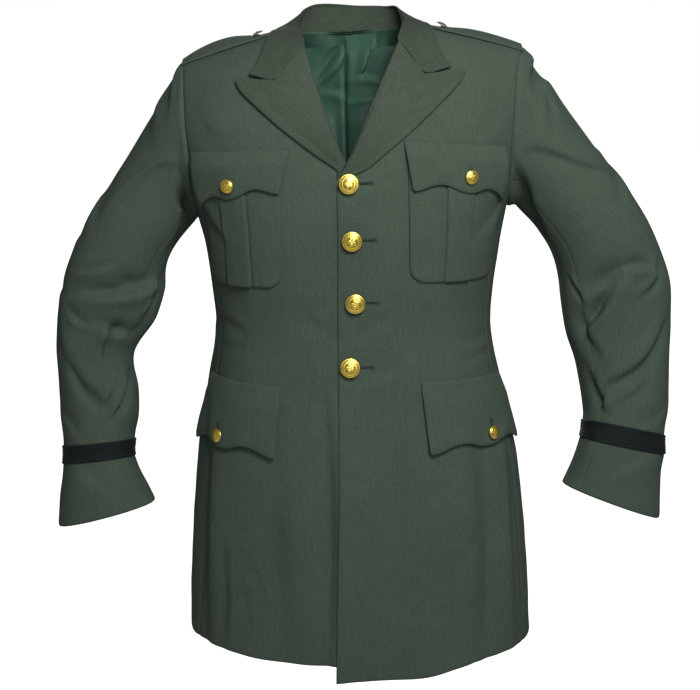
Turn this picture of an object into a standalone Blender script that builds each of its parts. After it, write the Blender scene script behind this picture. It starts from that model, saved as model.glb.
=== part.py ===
"""A military dress tunic, filled out as worn: each cut piece is a thin wall of cloth round an open hollow.

Metres, +Z up, the wearer faces -Y and their left is +X. The origin is the middle of the neck opening, at the
height where the shoulder seams meet the neck. Heights called "level" are from before the shoulders slope.
"""

import math
from collections import namedtuple

import bmesh
import bpy
import numpy as np

# Driving sizes.
CLOTH = 0.0020
FLAP_CLOTH = 0.0018
BRAID_CLOTH = 0.0012
LINING_CLOTH = 0.0010
SEAM = 0.0002
SLEEVE_SEAM = 0.0004
CLEARANCE = 0.0010
CHEST_LEVEL = -0.212
ARM_OPENING_FOOT = -0.181
SHOULDER_FALL = 0.25
SHOULDER_ARC = 1.1
NECK_HALF = 0.080
FRONT_ROUNDING = 2.4
BACK_ROUNDING = 3.3
UNDERLAP = 0.018
OVERLAP_LIFT = 0.0030
SIDE_SEAM = math.radians(67.5)
LEFT, RIGHT = 1, -1
SIDES = {"left": LEFT, "right": RIGHT}

# Steps round an armhole, and rows of cloth down the body.
RING = 24
SEAM_STEP = 9
BODY_ROWS = 10

Section = namedtuple("Section", "level half_width front_depth back_depth squareness")
SECTIONS = [
    Section(-0.760, 0.2130, 0.140, 0.136, 2.40),
    Section(-0.620, 0.2050, 0.136, 0.132, 2.40),
    Section(-0.500, 0.1935, 0.130, 0.126, 2.40),
    Section(-0.420, 0.1780, 0.122, 0.116, 2.40),
    Section(-0.347, 0.1660, 0.118, 0.110, 2.45),
    Section(-0.290, 0.1695, 0.123, 0.116, 2.55),
    Section(-0.212, 0.1830, 0.130, 0.124, 2.70),
    Section(-0.165, 0.2000, 0.130, 0.124, 2.70),
    Section(-0.106, 0.2145, 0.130, 0.124, 2.70),
    Section(0.000, 0.2180, 0.130, 0.124, 2.70),
]

# The armhole: how far round the body its line lies, by the angle down from the shoulder.
Armhole = namedtuple("Armhole", "turn_deg left right")
ARMHOLE = [
    Armhole(0, 65.0, 59.5),
    Armhole(18, 63.6, 59.2),
    Armhole(54, 57.4, 57.0),
    Armhole(90, 56.2, 57.3),
    Armhole(112, 59.3, 60.6),
    Armhole(135, 67.5, 67.5),
    Armhole(158, 77.5, 77.5),
    Armhole(180, 90.0, 90.0),
]

# Bottom edge of the coat, by the angle round it: the left front hangs a little lower.
Hem = namedtuple("Hem", "theta_deg left right")
HEM = [
    Hem(-8, -0.757, -0.736),
    Hem(2, -0.752, -0.736),
    Hem(17, -0.751, -0.734),
    Hem(32, -0.741, -0.732),
    Hem(50, -0.734, -0.727),
    Hem(90, -0.732, -0.726),
    Hem(180, -0.733, -0.733),
]

# How the worn coat stands, by height: its sideways shift, and where that leaves the left front's edge.
Stand = namedtuple("Stand", "height shift front_edge")
STAND = [
    Stand(-0.760, 0.0085, -0.0292),
    Stand(-0.620, 0.0077, -0.0268),
    Stand(-0.500, 0.0050, -0.0222),
    Stand(-0.420, 0.0013, -0.0190),
    Stand(-0.340, -0.0010, -0.0174),
    Stand(-0.250, -0.0012, -0.0172),
    Stand(-0.185, -0.0025, -0.0166),
    Stand(-0.050, -0.0050, -0.0166),
    Stand(0.050, -0.0050, -0.0166),
]
TILT = 0.047

# Roll lines of the two lapels, where the fronts turn back.
Roll = namedtuple("Roll", "level left right")
ROLL = [
    Roll(-0.1850, -0.0166, 0.0130),
    Roll(-0.1665, -0.0122, 0.0020),
    Roll(-0.1386, 0.0010, -0.0118),
    Roll(-0.1094, 0.0136, -0.0222),
    Roll(-0.0499, 0.0409, -0.0422),
    Roll(-0.0206, 0.0545, -0.0510),
]

# Outer edge of a lapel, from its foot to its point, then the notch and the top of the gorge seam.
LapelEdge = namedtuple("LapelEdge", "x level")
LAPEL_EDGE = [
    LapelEdge(0.0160, -0.1590),
    LapelEdge(0.0415, -0.1403),
    LapelEdge(0.0740, -0.1140),
    LapelEdge(0.0975, -0.0920),
    LapelEdge(0.1204, -0.0673),
    LapelEdge(0.1283, -0.0527),
]
LAPEL_FOOT = {LEFT: LapelEdge(-0.0095, -0.1672), RIGHT: LapelEdge(-0.0165, -0.1680)}
ROLL_FOOT = {LEFT: -0.1645, RIGHT: -0.1515}
NOTCH = LapelEdge(0.0825, -0.0585)
COLLAR_POINT = LapelEdge(0.1116, -0.0486)
GORGE_TOP = -0.0206
TURNED = 0.0042
COLLAR_LIFT = 0.0056
COLLAR_CLOTH = 0.0016
COLLAR_GAP = 0.0010
COLLAR_ROWS = 9
GORGE_START = 0.62
NOTCH_SHARE = 0.45
STAND_SHARES = (0.0, 0.45, 0.82)
ROLL_CROWN = 0.0025
CROWN_SHARE = 0.8
LAPEL_RISE_SHARE = 0.3
ROLL_GAP = 0.0008

# The collar from the centre back to the gorge: the neck seam, the fold along the top and the outer edge.
Neck = namedtuple("Neck", "share seam_x seam_y seam_z fold_x fold_y fold_z edge_x edge_y edge_z")
COLLAR = [
    Neck(0.00, 0.000, 0.060, -0.002, 0.000, 0.069, 0.0295, 0.000, 0.092, -0.018),
    Neck(0.25, 0.040, 0.051, -0.001, 0.036, 0.062, 0.0285, 0.048, 0.084, -0.012),
    Neck(0.50, 0.066, 0.028, 0.000, 0.055, 0.036, 0.0205, 0.084, 0.050, 0.003),
    Neck(0.68, 0.070, 0.006, 0.000, 0.0605, 0.008, 0.0095, 0.0885, 0.012, 0.0035),
    Neck(0.84, 0.066, -0.024, -0.004, 0.0600, -0.026, -0.0010, 0.0890, -0.032, -0.006),
    Neck(0.92, 0.062, -0.042, -0.012, 0.0580, -0.0460, -0.0090, 0.0940, -0.062, -0.022),
    Neck(1.00, 0.058, -0.060, -0.020, 0.0545, -0.0660, -0.0200, 0.1050, -0.080, -0.042),
]

# Sleeves: the outer and inner edge of each section as seen from the front, how far forward it lies,
# and half its depth from front to back.
Sleeve = namedtuple("Sleeve", "outer_x outer_z inner_x inner_z forward half_depth")
SLEEVES = {
    LEFT: [
        Sleeve(0.2894, -0.1422, 0.1941, -0.2076, 0.000, 0.0640),
        Sleeve(0.3178, -0.1742, 0.2224, -0.2413, 0.000, 0.0610),
        Sleeve(0.3530, -0.2280, 0.2425, -0.2763, 0.000, 0.0580),
        Sleeve(0.3789, -0.2918, 0.2499, -0.3199, -0.002, 0.0560),
        Sleeve(0.3814, -0.3486, 0.2569, -0.3597, -0.006, 0.0540),
        Sleeve(0.3808, -0.4004, 0.2705, -0.4029, -0.012, 0.0510),
        Sleeve(0.3800, -0.4487, 0.2780, -0.4450, -0.018, 0.0470),
        Sleeve(0.3752, -0.4847, 0.2776, -0.4648, -0.024, 0.0445),
        Sleeve(0.3752, -0.5061, 0.2745, -0.4850, -0.028, 0.0430),
        Sleeve(0.3716, -0.5361, 0.2613, -0.5223, -0.0325, 0.0400),
        Sleeve(0.3699, -0.5822, 0.2525, -0.5396, -0.038, 0.0370),
    ],
    RIGHT: [
        Sleeve(-0.2781, -0.1635, -0.1848, -0.2196, 0.000, 0.0640),
        Sleeve(-0.3193, -0.2232, -0.2231, -0.2739, 0.000, 0.0610),
        Sleeve(-0.3447, -0.2797, -0.2290, -0.3101, -0.002, 0.0590),
        Sleeve(-0.3562, -0.3281, -0.2398, -0.3440, -0.004, 0.0560),
        Sleeve(-0.3588, -0.3765, -0.2669, -0.3852, -0.008, 0.0530),
        Sleeve(-0.3570, -0.4250, -0.2629, -0.4250, -0.013, 0.0500),
        Sleeve(-0.3550, -0.4614, -0.2625, -0.4589, -0.017, 0.0470),
        Sleeve(-0.3522, -0.4972, -0.2668, -0.4889, -0.022, 0.0445),
        Sleeve(-0.3522, -0.5191, -0.2668, -0.5091, -0.026, 0.0430),
        Sleeve(-0.3563, -0.5514, -0.2533, -0.5388, -0.032, 0.0400),
        Sleeve(-0.3584, -0.5922, -0.2414, -0.5615, -0.037, 0.0370),
    ],
}
SLEEVE_SQUARENESS = 2.2
CAP_ROWS = 4
CAP_REACH = 0.036
CAP_TOP = 0.022
CAP_FALL = 1.2
CAP_RUN = 0.050
HIND_SEAM_STEP = 16
BRAID_ROWS = (7, 8)

# Pockets and flaps, by distance round the body from the centre front, and level.
Flap = namedtuple("Flap", "top_inner top_outer top_inner_level top_outer_level "
                          "foot_inner foot_middle foot_outer foot_inner_level foot_outer_level")
BREAST_FLAP = {
    LEFT: Flap(0.0589, 0.1830, -0.1300, -0.1386, 0.0665, 0.1300, 0.1855, -0.1840, -0.1985),
    RIGHT: Flap(0.0687, 0.1900, -0.1340, -0.1300, 0.0790, 0.1360, 0.1870, -0.1825, -0.1980),
}
HIP_FLAP = {
    LEFT: Flap(0.0762, 0.2060, -0.4012, -0.4022, 0.0820, 0.1590, 0.2260, -0.4850, -0.4830),
    RIGHT: Flap(0.0863, 0.2000, -0.4078, -0.4030, 0.0955, 0.1660, 0.2310, -0.4905, -0.4850),
}
FLAP_SCOOP = 0.0085
FLAP_POINT = 0.0030
FLAP_COLUMNS = 14
FLAP_CORNER = 0.0035
FLAP_CORNER_SHARE = 0.12
FLAP_RISE = {"breast": 0.0046, "hip": 0.0035}
FLAP_TURN_SHARE = 1 / 2.6

Pocket = namedtuple("Pocket", "inner outer top foot pleat_middle")
POCKET = {
    LEFT: Pocket(0.0632, 0.1800, -0.1580, -0.2870, 0.1240),
    RIGHT: Pocket(0.0800, 0.1860, -0.1580, -0.2915, 0.1380),
}
POCKET_CORNER = 0.018
POCKET_CLOTH = 0.0015
POCKET_CORNER_DEPTH = 0.9
PLEAT_HALF = 0.016
PLEAT_STEP = 0.001
PLEAT_RISE = 0.0010

# Shoulder loops, from the armhole to a point under the collar: each edge's place and height off the shoulder.
Loop = namedtuple("Loop", "x front_y back_y front_lift back_lift")
LOOP = [
    Loop(0.1950, -0.0300, 0.0100, 0.0030, 0.0035),
    Loop(0.1840, -0.0330, 0.0080, 0.0032, 0.0090),
    Loop(0.1620, -0.0350, 0.0060, 0.0034, 0.0140),
    Loop(0.1400, -0.0345, 0.0050, 0.0034, 0.0140),
    Loop(0.1200, -0.0330, 0.0030, 0.0034, 0.0085),
    Loop(0.1050, -0.0300, 0.0000, 0.0029, 0.0042),
    Loop(0.0900, -0.0190, -0.0110, 0.0029, 0.0029),
]
LOOP_ROOT = {LEFT: 0.0055, RIGHT: 0.0}
LOOP_CLOTH = 0.0018

# Buttons: the profile of a domed button on its shank, as shares of its radius, and where each is sewn.
Profile = namedtuple("Profile", "radius height")
BUTTON_PROFILE = [
    Profile(0.22, 0.03),
    Profile(0.22, 0.29),
    Profile(0.90, 0.31),
    Profile(1.00, 0.37),
    Profile(0.97, 0.43),
    Profile(0.62, 0.58),
    Profile(0.25, 0.64),
]
BUTTON_SIDES = 16
LARGE_BUTTON = 0.01145
SMALL_BUTTON = 0.00795
FrontButton = namedtuple("FrontButton", "x level")
FRONT_BUTTONS = [
    FrontButton(-0.0035, -0.1743),
    FrontButton(-0.0012, -0.2371),
    FrontButton(0.0024, -0.3083),
    FrontButton(-0.0045, -0.3832),
]
FlapButton = namedtuple("FlapButton", "reach level")
BREAST_BUTTON = {LEFT: FlapButton(0.1323, -0.1711), RIGHT: FlapButton(0.1379, -0.1719)}
HIP_BUTTON = {LEFT: FlapButton(0.1638, -0.4670), RIGHT: FlapButton(0.1681, -0.4715)}
LOOP_BUTTON_PLACE = 4.85
BUTTON_LIFT = 0.0004
FLAP_BUTTON_LIFT = {"breast": 0.0078, "hip": 0.0067}

# The lining of the back, with an ease pleat down its middle.
LINING_GAP = 0.0045
LINING_PLEAT = 0.0060
LINING_PLEAT_HALF = 0.014
LINING_FOOT = -0.715
LINING_TOPS = (-0.120, -0.070, -0.035, -0.014, -0.006)
LINING_NECK_Y = 0.0490
LINING_NECK_Z = -0.0050
LINING_START = math.radians(110)
LINING_NARROWED = math.radians(20)
LINING_ROWS = 12
LINING_COLUMNS = 12
LINING_WAIST = -0.26
LINING_WAIST_RUN = 0.10

# The neck seam of the backs, behind the collar's stand, and how far in from the shoulder each piece starts.
NECK_SEAM_HALF = 0.072
NECK_SEAM_Y = 0.0575
NECK_SEAM_DROP = 0.0045
NECK_START = {"front": 0.008, "back": 0.012, "lining": 0.016}

WOOL = ("wool_serge", (0.055, 0.078, 0.060), 0.88, 0.0)
SATIN = ("lining_satin", (0.035, 0.085, 0.055), 0.38, 0.0)
BRAID = ("black_braid", (0.008, 0.011, 0.011), 0.60, 0.0)
GILT = ("gilt_metal", (0.78, 0.55, 0.16), 0.28, 1.0)


def clear_scene():
    for item in list(bpy.data.objects):
        bpy.data.objects.remove(item, do_unlink=True)


def finish_of(name, colour, roughness, metallic):
    """A named Principled material, made once."""
    material = bpy.data.materials.get(name)
    if material is None:
        material = bpy.data.materials.new(name)
        material.use_nodes = True
        shader = material.node_tree.nodes["Principled BSDF"]
        shader.inputs["Base Color"].default_value = (*colour, 1.0)
        shader.inputs["Roughness"].default_value = roughness
        shader.inputs["Metallic"].default_value = metallic
        material.diffuse_color = (*colour, 1.0)
    return material


def ease(share):
    """0 to 1, starting and ending level."""
    share = np.clip(share, 0, 1)
    return share * share * (3 - 2 * share)


def column(rows, name, at, key=None):
    """A column of a table at any value of its first column (or of key), on a smooth curve through the rows."""
    key = key or rows[0]._fields[0]
    places = np.array([getattr(row, key) for row in rows], float)
    values = np.array([getattr(row, name) for row in rows], float)
    if places[0] > places[-1]:
        places, values = places[::-1], values[::-1]
    slopes = np.gradient(values, places)
    at = np.clip(at, places[0], places[-1])
    left = np.clip(np.searchsorted(places, at) - 1, 0, len(places) - 2)
    width = places[left + 1] - places[left]
    t = (at - places[left]) / width
    start = (2 * t**3 - 3 * t**2 + 1) * values[left] + (t**3 - 2 * t**2 + t) * width * slopes[left]
    end = (3 * t**2 - 2 * t**3) * values[left + 1] + (t**3 - t**2) * width * slopes[left + 1]
    return start + end


def numbered(rows):
    """The rows of a table as one smooth curve by row number: a function of that number."""
    values = np.array([tuple(row) for row in rows], float)
    slopes = np.gradient(values, axis=0)

    def at(place):
        place = np.clip(np.asarray(place, float), 0, len(values) - 1)
        left = np.clip(np.floor(place).astype(int), 0, len(values) - 2)
        t = (place - left)[..., None]
        start = (2 * t**3 - 3 * t**2 + 1) * values[left] + (t**3 - 2 * t**2 + t) * slopes[left]
        return start + (3 * t**2 - 2 * t**3) * values[left + 1] + (t**3 - t**2) * slopes[left + 1]

    return at


# The body form.

def form(theta, level):
    """Points of the worn form: superellipses whose depth closes over the shoulders, which slope away."""
    theta, level = np.broadcast_arrays(np.asarray(theta, float), np.asarray(level, float))
    power = 2 / column(SECTIONS, "squareness", level)
    rise = np.clip(1 - level / CHEST_LEVEL, 0, 1)
    front = column(SECTIONS, "front_depth", level) * (1 - rise**FRONT_ROUNDING) ** (1 / FRONT_ROUNDING)
    back = column(SECTIONS, "back_depth", level) * (1 - rise**BACK_ROUNDING) ** (1 / BACK_ROUNDING)
    across, along = np.sin(theta), np.cos(theta)
    x = column(SECTIONS, "half_width", level) * np.sign(across) * np.abs(across) ** power
    y = -np.where(along >= 0, front, back) * np.sign(along) * np.abs(along) ** power
    beyond = np.abs(x) - NECK_HALF
    z = level - SHOULDER_FALL * rise**2 * (beyond + np.hypot(beyond, 0.01)) / 2
    return np.stack([x, y, z], axis=-1)


def skin(theta, level):
    """Points of the form and the outward directions there."""
    step = 1e-4
    theta, level = np.broadcast_arrays(np.asarray(theta, float), np.asarray(level, float))
    round_body = form(theta + step, level) - form(theta - step, level)
    up_body = form(theta, np.minimum(level + step, -1e-7)) - form(theta, level - step)
    outward = np.cross(round_body, up_body)
    return form(theta, level), outward / np.linalg.norm(outward, axis=-1, keepdims=True)


def over_shoulder(x):
    """The form's line over the shoulder at each x, from the chest to the back: points and outward directions."""
    arc = np.linspace(-SHOULDER_ARC, SHOULDER_ARC, 181)
    level = np.minimum(CHEST_LEVEL * (1 - np.cos(arc)), -1e-9)
    x = np.asarray(x, float)[..., None]
    theta = theta_at_x(x, level)
    points, outward = skin(np.where(arc < 0, theta, math.pi - theta), level)
    return points, outward


def settle(points, clearance):
    """Points moved out where needed, to lie at least a clearance off the form's shoulders."""
    line, outward = over_shoulder(points[..., 0])
    apart = points[..., None, :] - line
    nearest = np.argmin(np.linalg.norm(apart, axis=-1), axis=-1)[..., None, None]
    apart = np.take_along_axis(apart, nearest, axis=-2)[..., 0, :]
    outward = np.take_along_axis(outward, nearest, axis=-2)[..., 0, :]
    height = np.sum(apart * outward, axis=-1, keepdims=True)
    return points + outward * np.maximum(0, clearance - height)


def on_shoulder(x, y, lift):
    """Points above the shoulder at each x and y, lifted off the form."""
    line, outward = over_shoulder(x)
    z = np.array([np.interp(one, run[:, 1], run[:, 2]) for one, run in
                  zip(np.ravel(y), line.reshape(-1, line.shape[-2], 3))]).reshape(np.shape(y))
    return np.stack([x, y, z + lift], axis=-1)


def theta_at_x(x, level):
    """The angle at which the front of the form is x from the middle."""
    share = np.clip(np.abs(x) / column(SECTIONS, "half_width", level), 0, 1)
    return np.sign(x) * np.arcsin(share ** (column(SECTIONS, "squareness", level) / 2))


def theta_at_reach(reach, level):
    """The angle at a distance round the body from the centre front, at each level."""
    reach, level = np.broadcast_arrays(np.asarray(reach, float), np.asarray(level, float))
    fine = np.linspace(0, math.radians(150), 301)
    found = []
    for one_reach, one_level in zip(reach.ravel(), level.ravel()):
        steps = np.linalg.norm(np.diff(form(fine, one_level), axis=0), axis=1)
        found.append(np.interp(one_reach, np.concatenate([[0], np.cumsum(steps)]), fine))
    return np.array(found).reshape(reach.shape)


def armhole(side, step):
    """The angle and the level of the front half of an armhole, by steps round it from the shoulder."""
    turn = 2 * math.pi * np.asarray(step, float) / RING
    theta = np.radians(column(ARMHOLE, "left" if side == LEFT else "right", np.degrees(turn)))
    return theta, CHEST_LEVEL * (1 - np.cos(turn)) / 2


def hem(side, theta):
    """The level of the bottom edge of that side's panels, at any angle round the body."""
    return column(HEM, "left" if side == LEFT else "right", np.degrees(theta) * side)


def overlap_lift(reach):
    """How far the left front stands out over the right one, by distance from the middle."""
    return OVERLAP_LIFT * ease((0.075 - reach) / 0.055)


def levels_below_arm(share, edge):
    """Levels from a hem (share 0) to the foot of the front of the armhole (share 1)."""
    return edge + (ARM_OPENING_FOOT - edge) * share


def lean(points):
    """How the worn coat stands: the left shoulder a little higher, and the neck a little to the right."""
    weight = ease((points[..., 2] + 0.40) / 0.35)
    moved = points.copy()
    moved[..., 0] += column(STAND, "shift", points[..., 2])
    moved[..., 2] += TILT * points[..., 0] * weight
    return moved


# Making walls of cloth.

def add_object(name, points, faces, finish):
    """A closed mesh as a named object, with its faces turned outwards."""
    mesh = bpy.data.meshes.new(name)
    mesh.from_pydata([tuple(point) for point in points], [], [tuple(face) for face in faces])
    work = bmesh.new()
    work.from_mesh(mesh)
    bmesh.ops.remove_doubles(work, verts=work.verts, dist=1e-6)
    bmesh.ops.recalc_face_normals(work, faces=work.faces)
    work.to_mesh(mesh)
    work.free()
    mesh.materials.append(finish_of(*finish))
    mesh.shade_smooth()
    mesh.set_sharp_from_angle(angle=math.radians(35))
    item = bpy.data.objects.new(name, mesh)
    bpy.context.scene.collection.objects.link(item)
    return item


def wall(name, outer, outward, thickness, finish, closed=False):
    """A wall from a grid of points on its outer face: an inner face, and a strip round the open edges."""
    rows, columns = outer.shape[:2]
    points = np.concatenate([outer.reshape(-1, 3), (outer - outward * thickness).reshape(-1, 3)])
    index = np.arange(rows * columns).reshape(rows, columns)
    if closed:
        index = np.concatenate([index, index[:, :1]], axis=1)
    corners = [index[:-1, :-1], index[:-1, 1:], index[1:, 1:], index[1:, :-1]]
    cells = np.stack(corners, axis=-1).reshape(-1, 4)
    inside = rows * columns
    edges = [index[0], index[-1][::-1]]
    if not closed:
        edges += [index[::-1, 0], index[:, -1]]
    strips = [np.stack([run[:-1], run[1:], run[1:] + inside, run[:-1] + inside], axis=-1) for run in edges]
    faces = np.concatenate([cells, cells[:, ::-1] + inside, *strips])
    return add_object(name, points, faces, finish)


def directions(grid, closed=False):
    """Unit directions square to a grid's surface, from the differences between neighbouring points."""
    across = np.gradient(grid, axis=1)
    if closed:
        across = np.roll(grid, -1, axis=1) - np.roll(grid, 1, axis=1)
    square = np.cross(across, np.gradient(grid, axis=0))
    return square / np.linalg.norm(square, axis=-1, keepdims=True)


def draw_in(grid, first_row=0.0, last_row=0.0, first_column=0.0, last_column=0.0):
    """The grid with its edge points pulled inwards by a seam's share of the gap."""
    moved = grid.copy()
    for here, inner, amount in (
        (np.s_[0, :], np.s_[1, :], first_row),
        (np.s_[-1, :], np.s_[-2, :], last_row),
        (np.s_[:, 0], np.s_[:, 1], first_column),
        (np.s_[:, -1], np.s_[:, -2], last_column),
    ):
        toward = grid[inner] - grid[here]
        moved[here] += toward / np.linalg.norm(toward, axis=-1, keepdims=True) * amount
    return moved


def body_rows(side, back):
    """Angles of the armhole edge and the level of each row, from the foot of the armhole to the shoulder."""
    theta, level = armhole(side, np.arange(SEAM_STEP, -1, -1))
    if back:
        theta = math.pi - theta
    return side * theta, np.minimum(level, -1e-9)


def body_panel(name, side, back, columns):
    """A front or a back: from the hem to the foot of the armhole, then between the armhole and the neck."""
    seam = side * (math.pi - SIDE_SEAM if back else SIDE_SEAM)
    shares = np.linspace(0, 1, columns + 1)
    arm_theta, arm_levels = body_rows(side, back)
    rows = []
    for share in np.linspace(0, 1, BODY_ROWS + 1)[:-1]:
        rough = levels_below_arm(share, hem(side, seam))
        inner = inner_edge(side, back, rough)
        theta = inner + (seam - inner) * shares
        rows.append((theta, levels_below_arm(share, hem(side, theta))))
    for outer, level in zip(arm_theta, arm_levels):
        inner = inner_edge(side, back, level)
        rows.append((inner + (outer - inner) * shares, np.full(columns + 1, level)))
    theta = np.array([row[0] for row in rows])
    level = np.array([row[1] for row in rows])
    points, outward = skin(theta, level)
    if back:
        points[-1] = lower_to_neck(points[-1])
    if side == LEFT and not back:
        points = points + outward * overlap_lift(points[..., :1])
    points = draw_in(points, last_row=SEAM, first_column=SEAM, last_column=SEAM)
    return wall(name, lean(points), outward, CLOTH, WOOL)


def inner_edge(side, back, level):
    """The angle of a panel's edge nearest the middle: the centre-back seam, or the front edge and the roll."""
    if back:
        return side * math.pi
    if level > GORGE_TOP:
        gorge = abs(column(ROLL, "left", GORGE_TOP))
        x = np.interp(level, [GORGE_TOP, 0], [gorge, NECK_HALF - NECK_START["front"]]) * side
    elif level > ROLL[0].level:
        x = column(ROLL, "left" if side == LEFT else "right", level)
    elif side == LEFT:
        x = column(STAND, "front_edge", level)
    else:
        x = UNDERLAP
    return theta_at_x(x, level)


def lower_to_neck(row):
    """The top of a back: along the shoulder, then dipping to the neck seam behind the collar's stand."""
    inside = np.abs(row[:, 0]) < NECK_HALF - NECK_START["back"]
    dipped = row.copy()
    share = np.clip(np.abs(row[:, 0]) / NECK_SEAM_HALF, 0, 1)
    dipped[inside, 1] = (NECK_SEAM_Y * np.sqrt(1 - share**2))[inside]
    dipped[inside, 2] = (-NECK_SEAM_DROP * (1 - share**2))[inside]
    return dipped


# Body.

def make_fronts():
    for word, side in SIDES.items():
        body_panel(f"front_{word}", side, False, 8)


def make_backs():
    for word, side in SIDES.items():
        body_panel(f"back_{word}", side, True, 6)


def make_sides():
    """Side bodies: under the arm from the front seam to the back seam, scooped out for the armhole."""
    steps = np.arange(SEAM_STEP, RING - SEAM_STEP + 1)
    half = RING // 2
    share = np.linspace(0, 1, BODY_ROWS + 1)[:, None]
    for word, side in SIDES.items():
        front_theta, top = armhole(side, half - np.abs(steps - half))
        theta = np.where(steps <= half, front_theta, math.pi - front_theta)
        bottom = hem(side, side * theta)
        level = bottom + (top - bottom) * share
        points, outward = skin(np.broadcast_to(side * theta, level.shape), level)
        points = draw_in(points, last_row=SEAM, first_column=SEAM, last_column=SEAM)
        wall(f"side_{word}", lean(points), outward, CLOTH, WOOL)


def make_lining():
    """The back's lining: inside the cloth from side seam to side seam, with a soft pleat down the middle."""
    level = np.concatenate([np.linspace(LINING_FOOT, LINING_TOPS[0], LINING_ROWS), LINING_TOPS[1:]])[:, None]
    reach = LINING_START + (math.pi - LINING_START) * np.linspace(0, 1, LINING_COLUMNS // 2 + 1)
    theta = np.concatenate([reach, 2 * math.pi - reach[-2::-1]])[None, :]
    level, theta = np.broadcast_arrays(level, theta)
    narrowed = ease((level - LINING_WAIST) / LINING_WAIST_RUN) * LINING_NARROWED
    theta = math.pi + (theta - math.pi) * (1 - narrowed / (math.pi - LINING_START))
    points, outward = skin(theta, level)
    off_middle = points[..., :1]
    pleat = LINING_PLEAT * np.exp(-((off_middle / LINING_PLEAT_HALF) ** 2))
    points = points - outward * (CLOTH + LINING_GAP + pleat)
    points[-1] = lining_neck(points[-1])
    outward[-1] = [0, 1, 0]
    wall("lining_back", lean(points), outward, LINING_CLOTH, SATIN)


def lining_neck(row):
    """The lining's top edge, brought up in front of the back's neck seam."""
    share = np.clip(np.abs(row[:, 0]) / NECK_SEAM_HALF, 0, 1)
    raised = row.copy()
    inside = np.abs(row[:, 0]) < NECK_HALF - NECK_START["lining"]
    raised[inside, 1] = (LINING_NECK_Y * np.sqrt(1 - share**2))[inside]
    raised[inside, 2] = LINING_NECK_Z
    return raised


# Sleeves.

def armhole_ring(side):
    """Points round the armhole, down the front and up the back, just off the body's edge."""
    steps = np.arange(RING)
    half = RING // 2
    theta, level = armhole(side, half - np.abs(steps - half))
    theta = np.where(steps <= half, theta, math.pi - theta)
    points, outward = skin(side * theta, np.minimum(level, -1e-9))
    along = np.roll(points, -1, axis=0) - np.roll(points, 1, axis=0)
    across = np.cross(along, outward) * -side
    across /= np.linalg.norm(across, axis=-1, keepdims=True)
    middle = points.mean(axis=0)
    across *= np.sign(np.sum(across * (middle + [side * 0.05, 0, 0] - points), axis=-1, keepdims=True))
    return lean(points + across * SEAM), outward


def sleeve_ring(side, place):
    """A section of the sleeve: a soft superellipse between its outer and inner edge, square to the arm."""
    at = numbered(SLEEVES[side])
    row = at(place)
    ahead = at(place + 0.02) - at(place - 0.02)
    outer = np.array([row[0], row[4], row[1]])
    inner = np.array([row[2], row[4], row[3]])
    run = np.array([ahead[0] + ahead[2], 2 * ahead[4], ahead[1] + ahead[3]])
    half_width = (outer - inner) / 2
    depth = np.cross(run, half_width)
    depth *= -np.sign(depth[1]) * row[5] / np.linalg.norm(depth)
    turn = 2 * math.pi * np.arange(RING)[:, None] / RING
    power = 2 / SLEEVE_SQUARENESS
    wide = np.sign(np.cos(turn)) * np.abs(np.cos(turn)) ** power
    deep = np.sign(np.sin(turn)) * np.abs(np.sin(turn)) ** power
    return (outer + inner) / 2 + half_width * wide + depth * deep, run / np.linalg.norm(run)


def sleeve_tube(side):
    """The sleeve as rings: a cap that rises from the armhole and turns down, then the arm to the cuff."""
    start, at_seam = armhole_ring(side)
    first, run = sleeve_ring(side, 0)
    turn = 2 * math.pi * np.arange(RING)[:, None] / RING
    over = ease(np.cos(turn))
    outward = np.array([side * CAP_REACH, 0.0, 0.0]) * (1 - over)
    outward = outward + np.array([side, 0, -CAP_FALL]) * CAP_TOP * over
    rings = []
    for t in np.linspace(0, 1, CAP_ROWS + 1)[:-1]:
        rings.append(
            (2 * t**3 - 3 * t**2 + 1) * start
            + (t**3 - 2 * t**2 + t) * outward
            + (3 * t**2 - 2 * t**3) * first
            + (t**3 - t**2) * run * CAP_RUN * (1.2 + np.cos(turn))
        )
    rings += [sleeve_ring(side, place)[0] for place in range(len(SLEEVES[side]))]
    tube = np.array(rings)
    outward = directions(tube, closed=True)
    outward *= np.sign(np.sum(outward * (tube - tube.mean(axis=1, keepdims=True)), axis=-1, keepdims=True))
    outward[0] = at_seam
    return tube, outward


def make_sleeves():
    for word, side in SIDES.items():
        tube, outward = sleeve_tube(side)
        over = (np.arange(HIND_SEAM_STEP, RING + SEAM_STEP + 1)) % RING
        under = np.arange(SEAM_STEP, HIND_SEAM_STEP + 1)
        for piece, steps in ((f"top_sleeve_{word}", over), (f"under_sleeve_{word}", under)):
            points = draw_in(tube[:, steps], first_column=SLEEVE_SEAM, last_column=SLEEVE_SEAM)
            wall(piece, points, outward[:, steps], CLOTH, WOOL)


def make_braid():
    """A ribbed braid sewn round each cuff, on the sleeve's own rings."""
    for word, side in SIDES.items():
        tube, outward = sleeve_tube(side)
        rings = [CAP_ROWS + row for row in BRAID_ROWS]
        band, square = tube[rings], outward[rings]
        outer = band + square * (CLEARANCE + BRAID_CLOTH)
        wall(f"cuff_braid_{word}", outer, square, BRAID_CLOTH, BRAID, True)


# Lapels and collar.

def turned_point(x, level, lift):
    """A point on the front at x, moved out from the form."""
    points, outward = skin(theta_at_x(x, level), level)
    return points + outward * np.asarray(lift)[..., None]


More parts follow.
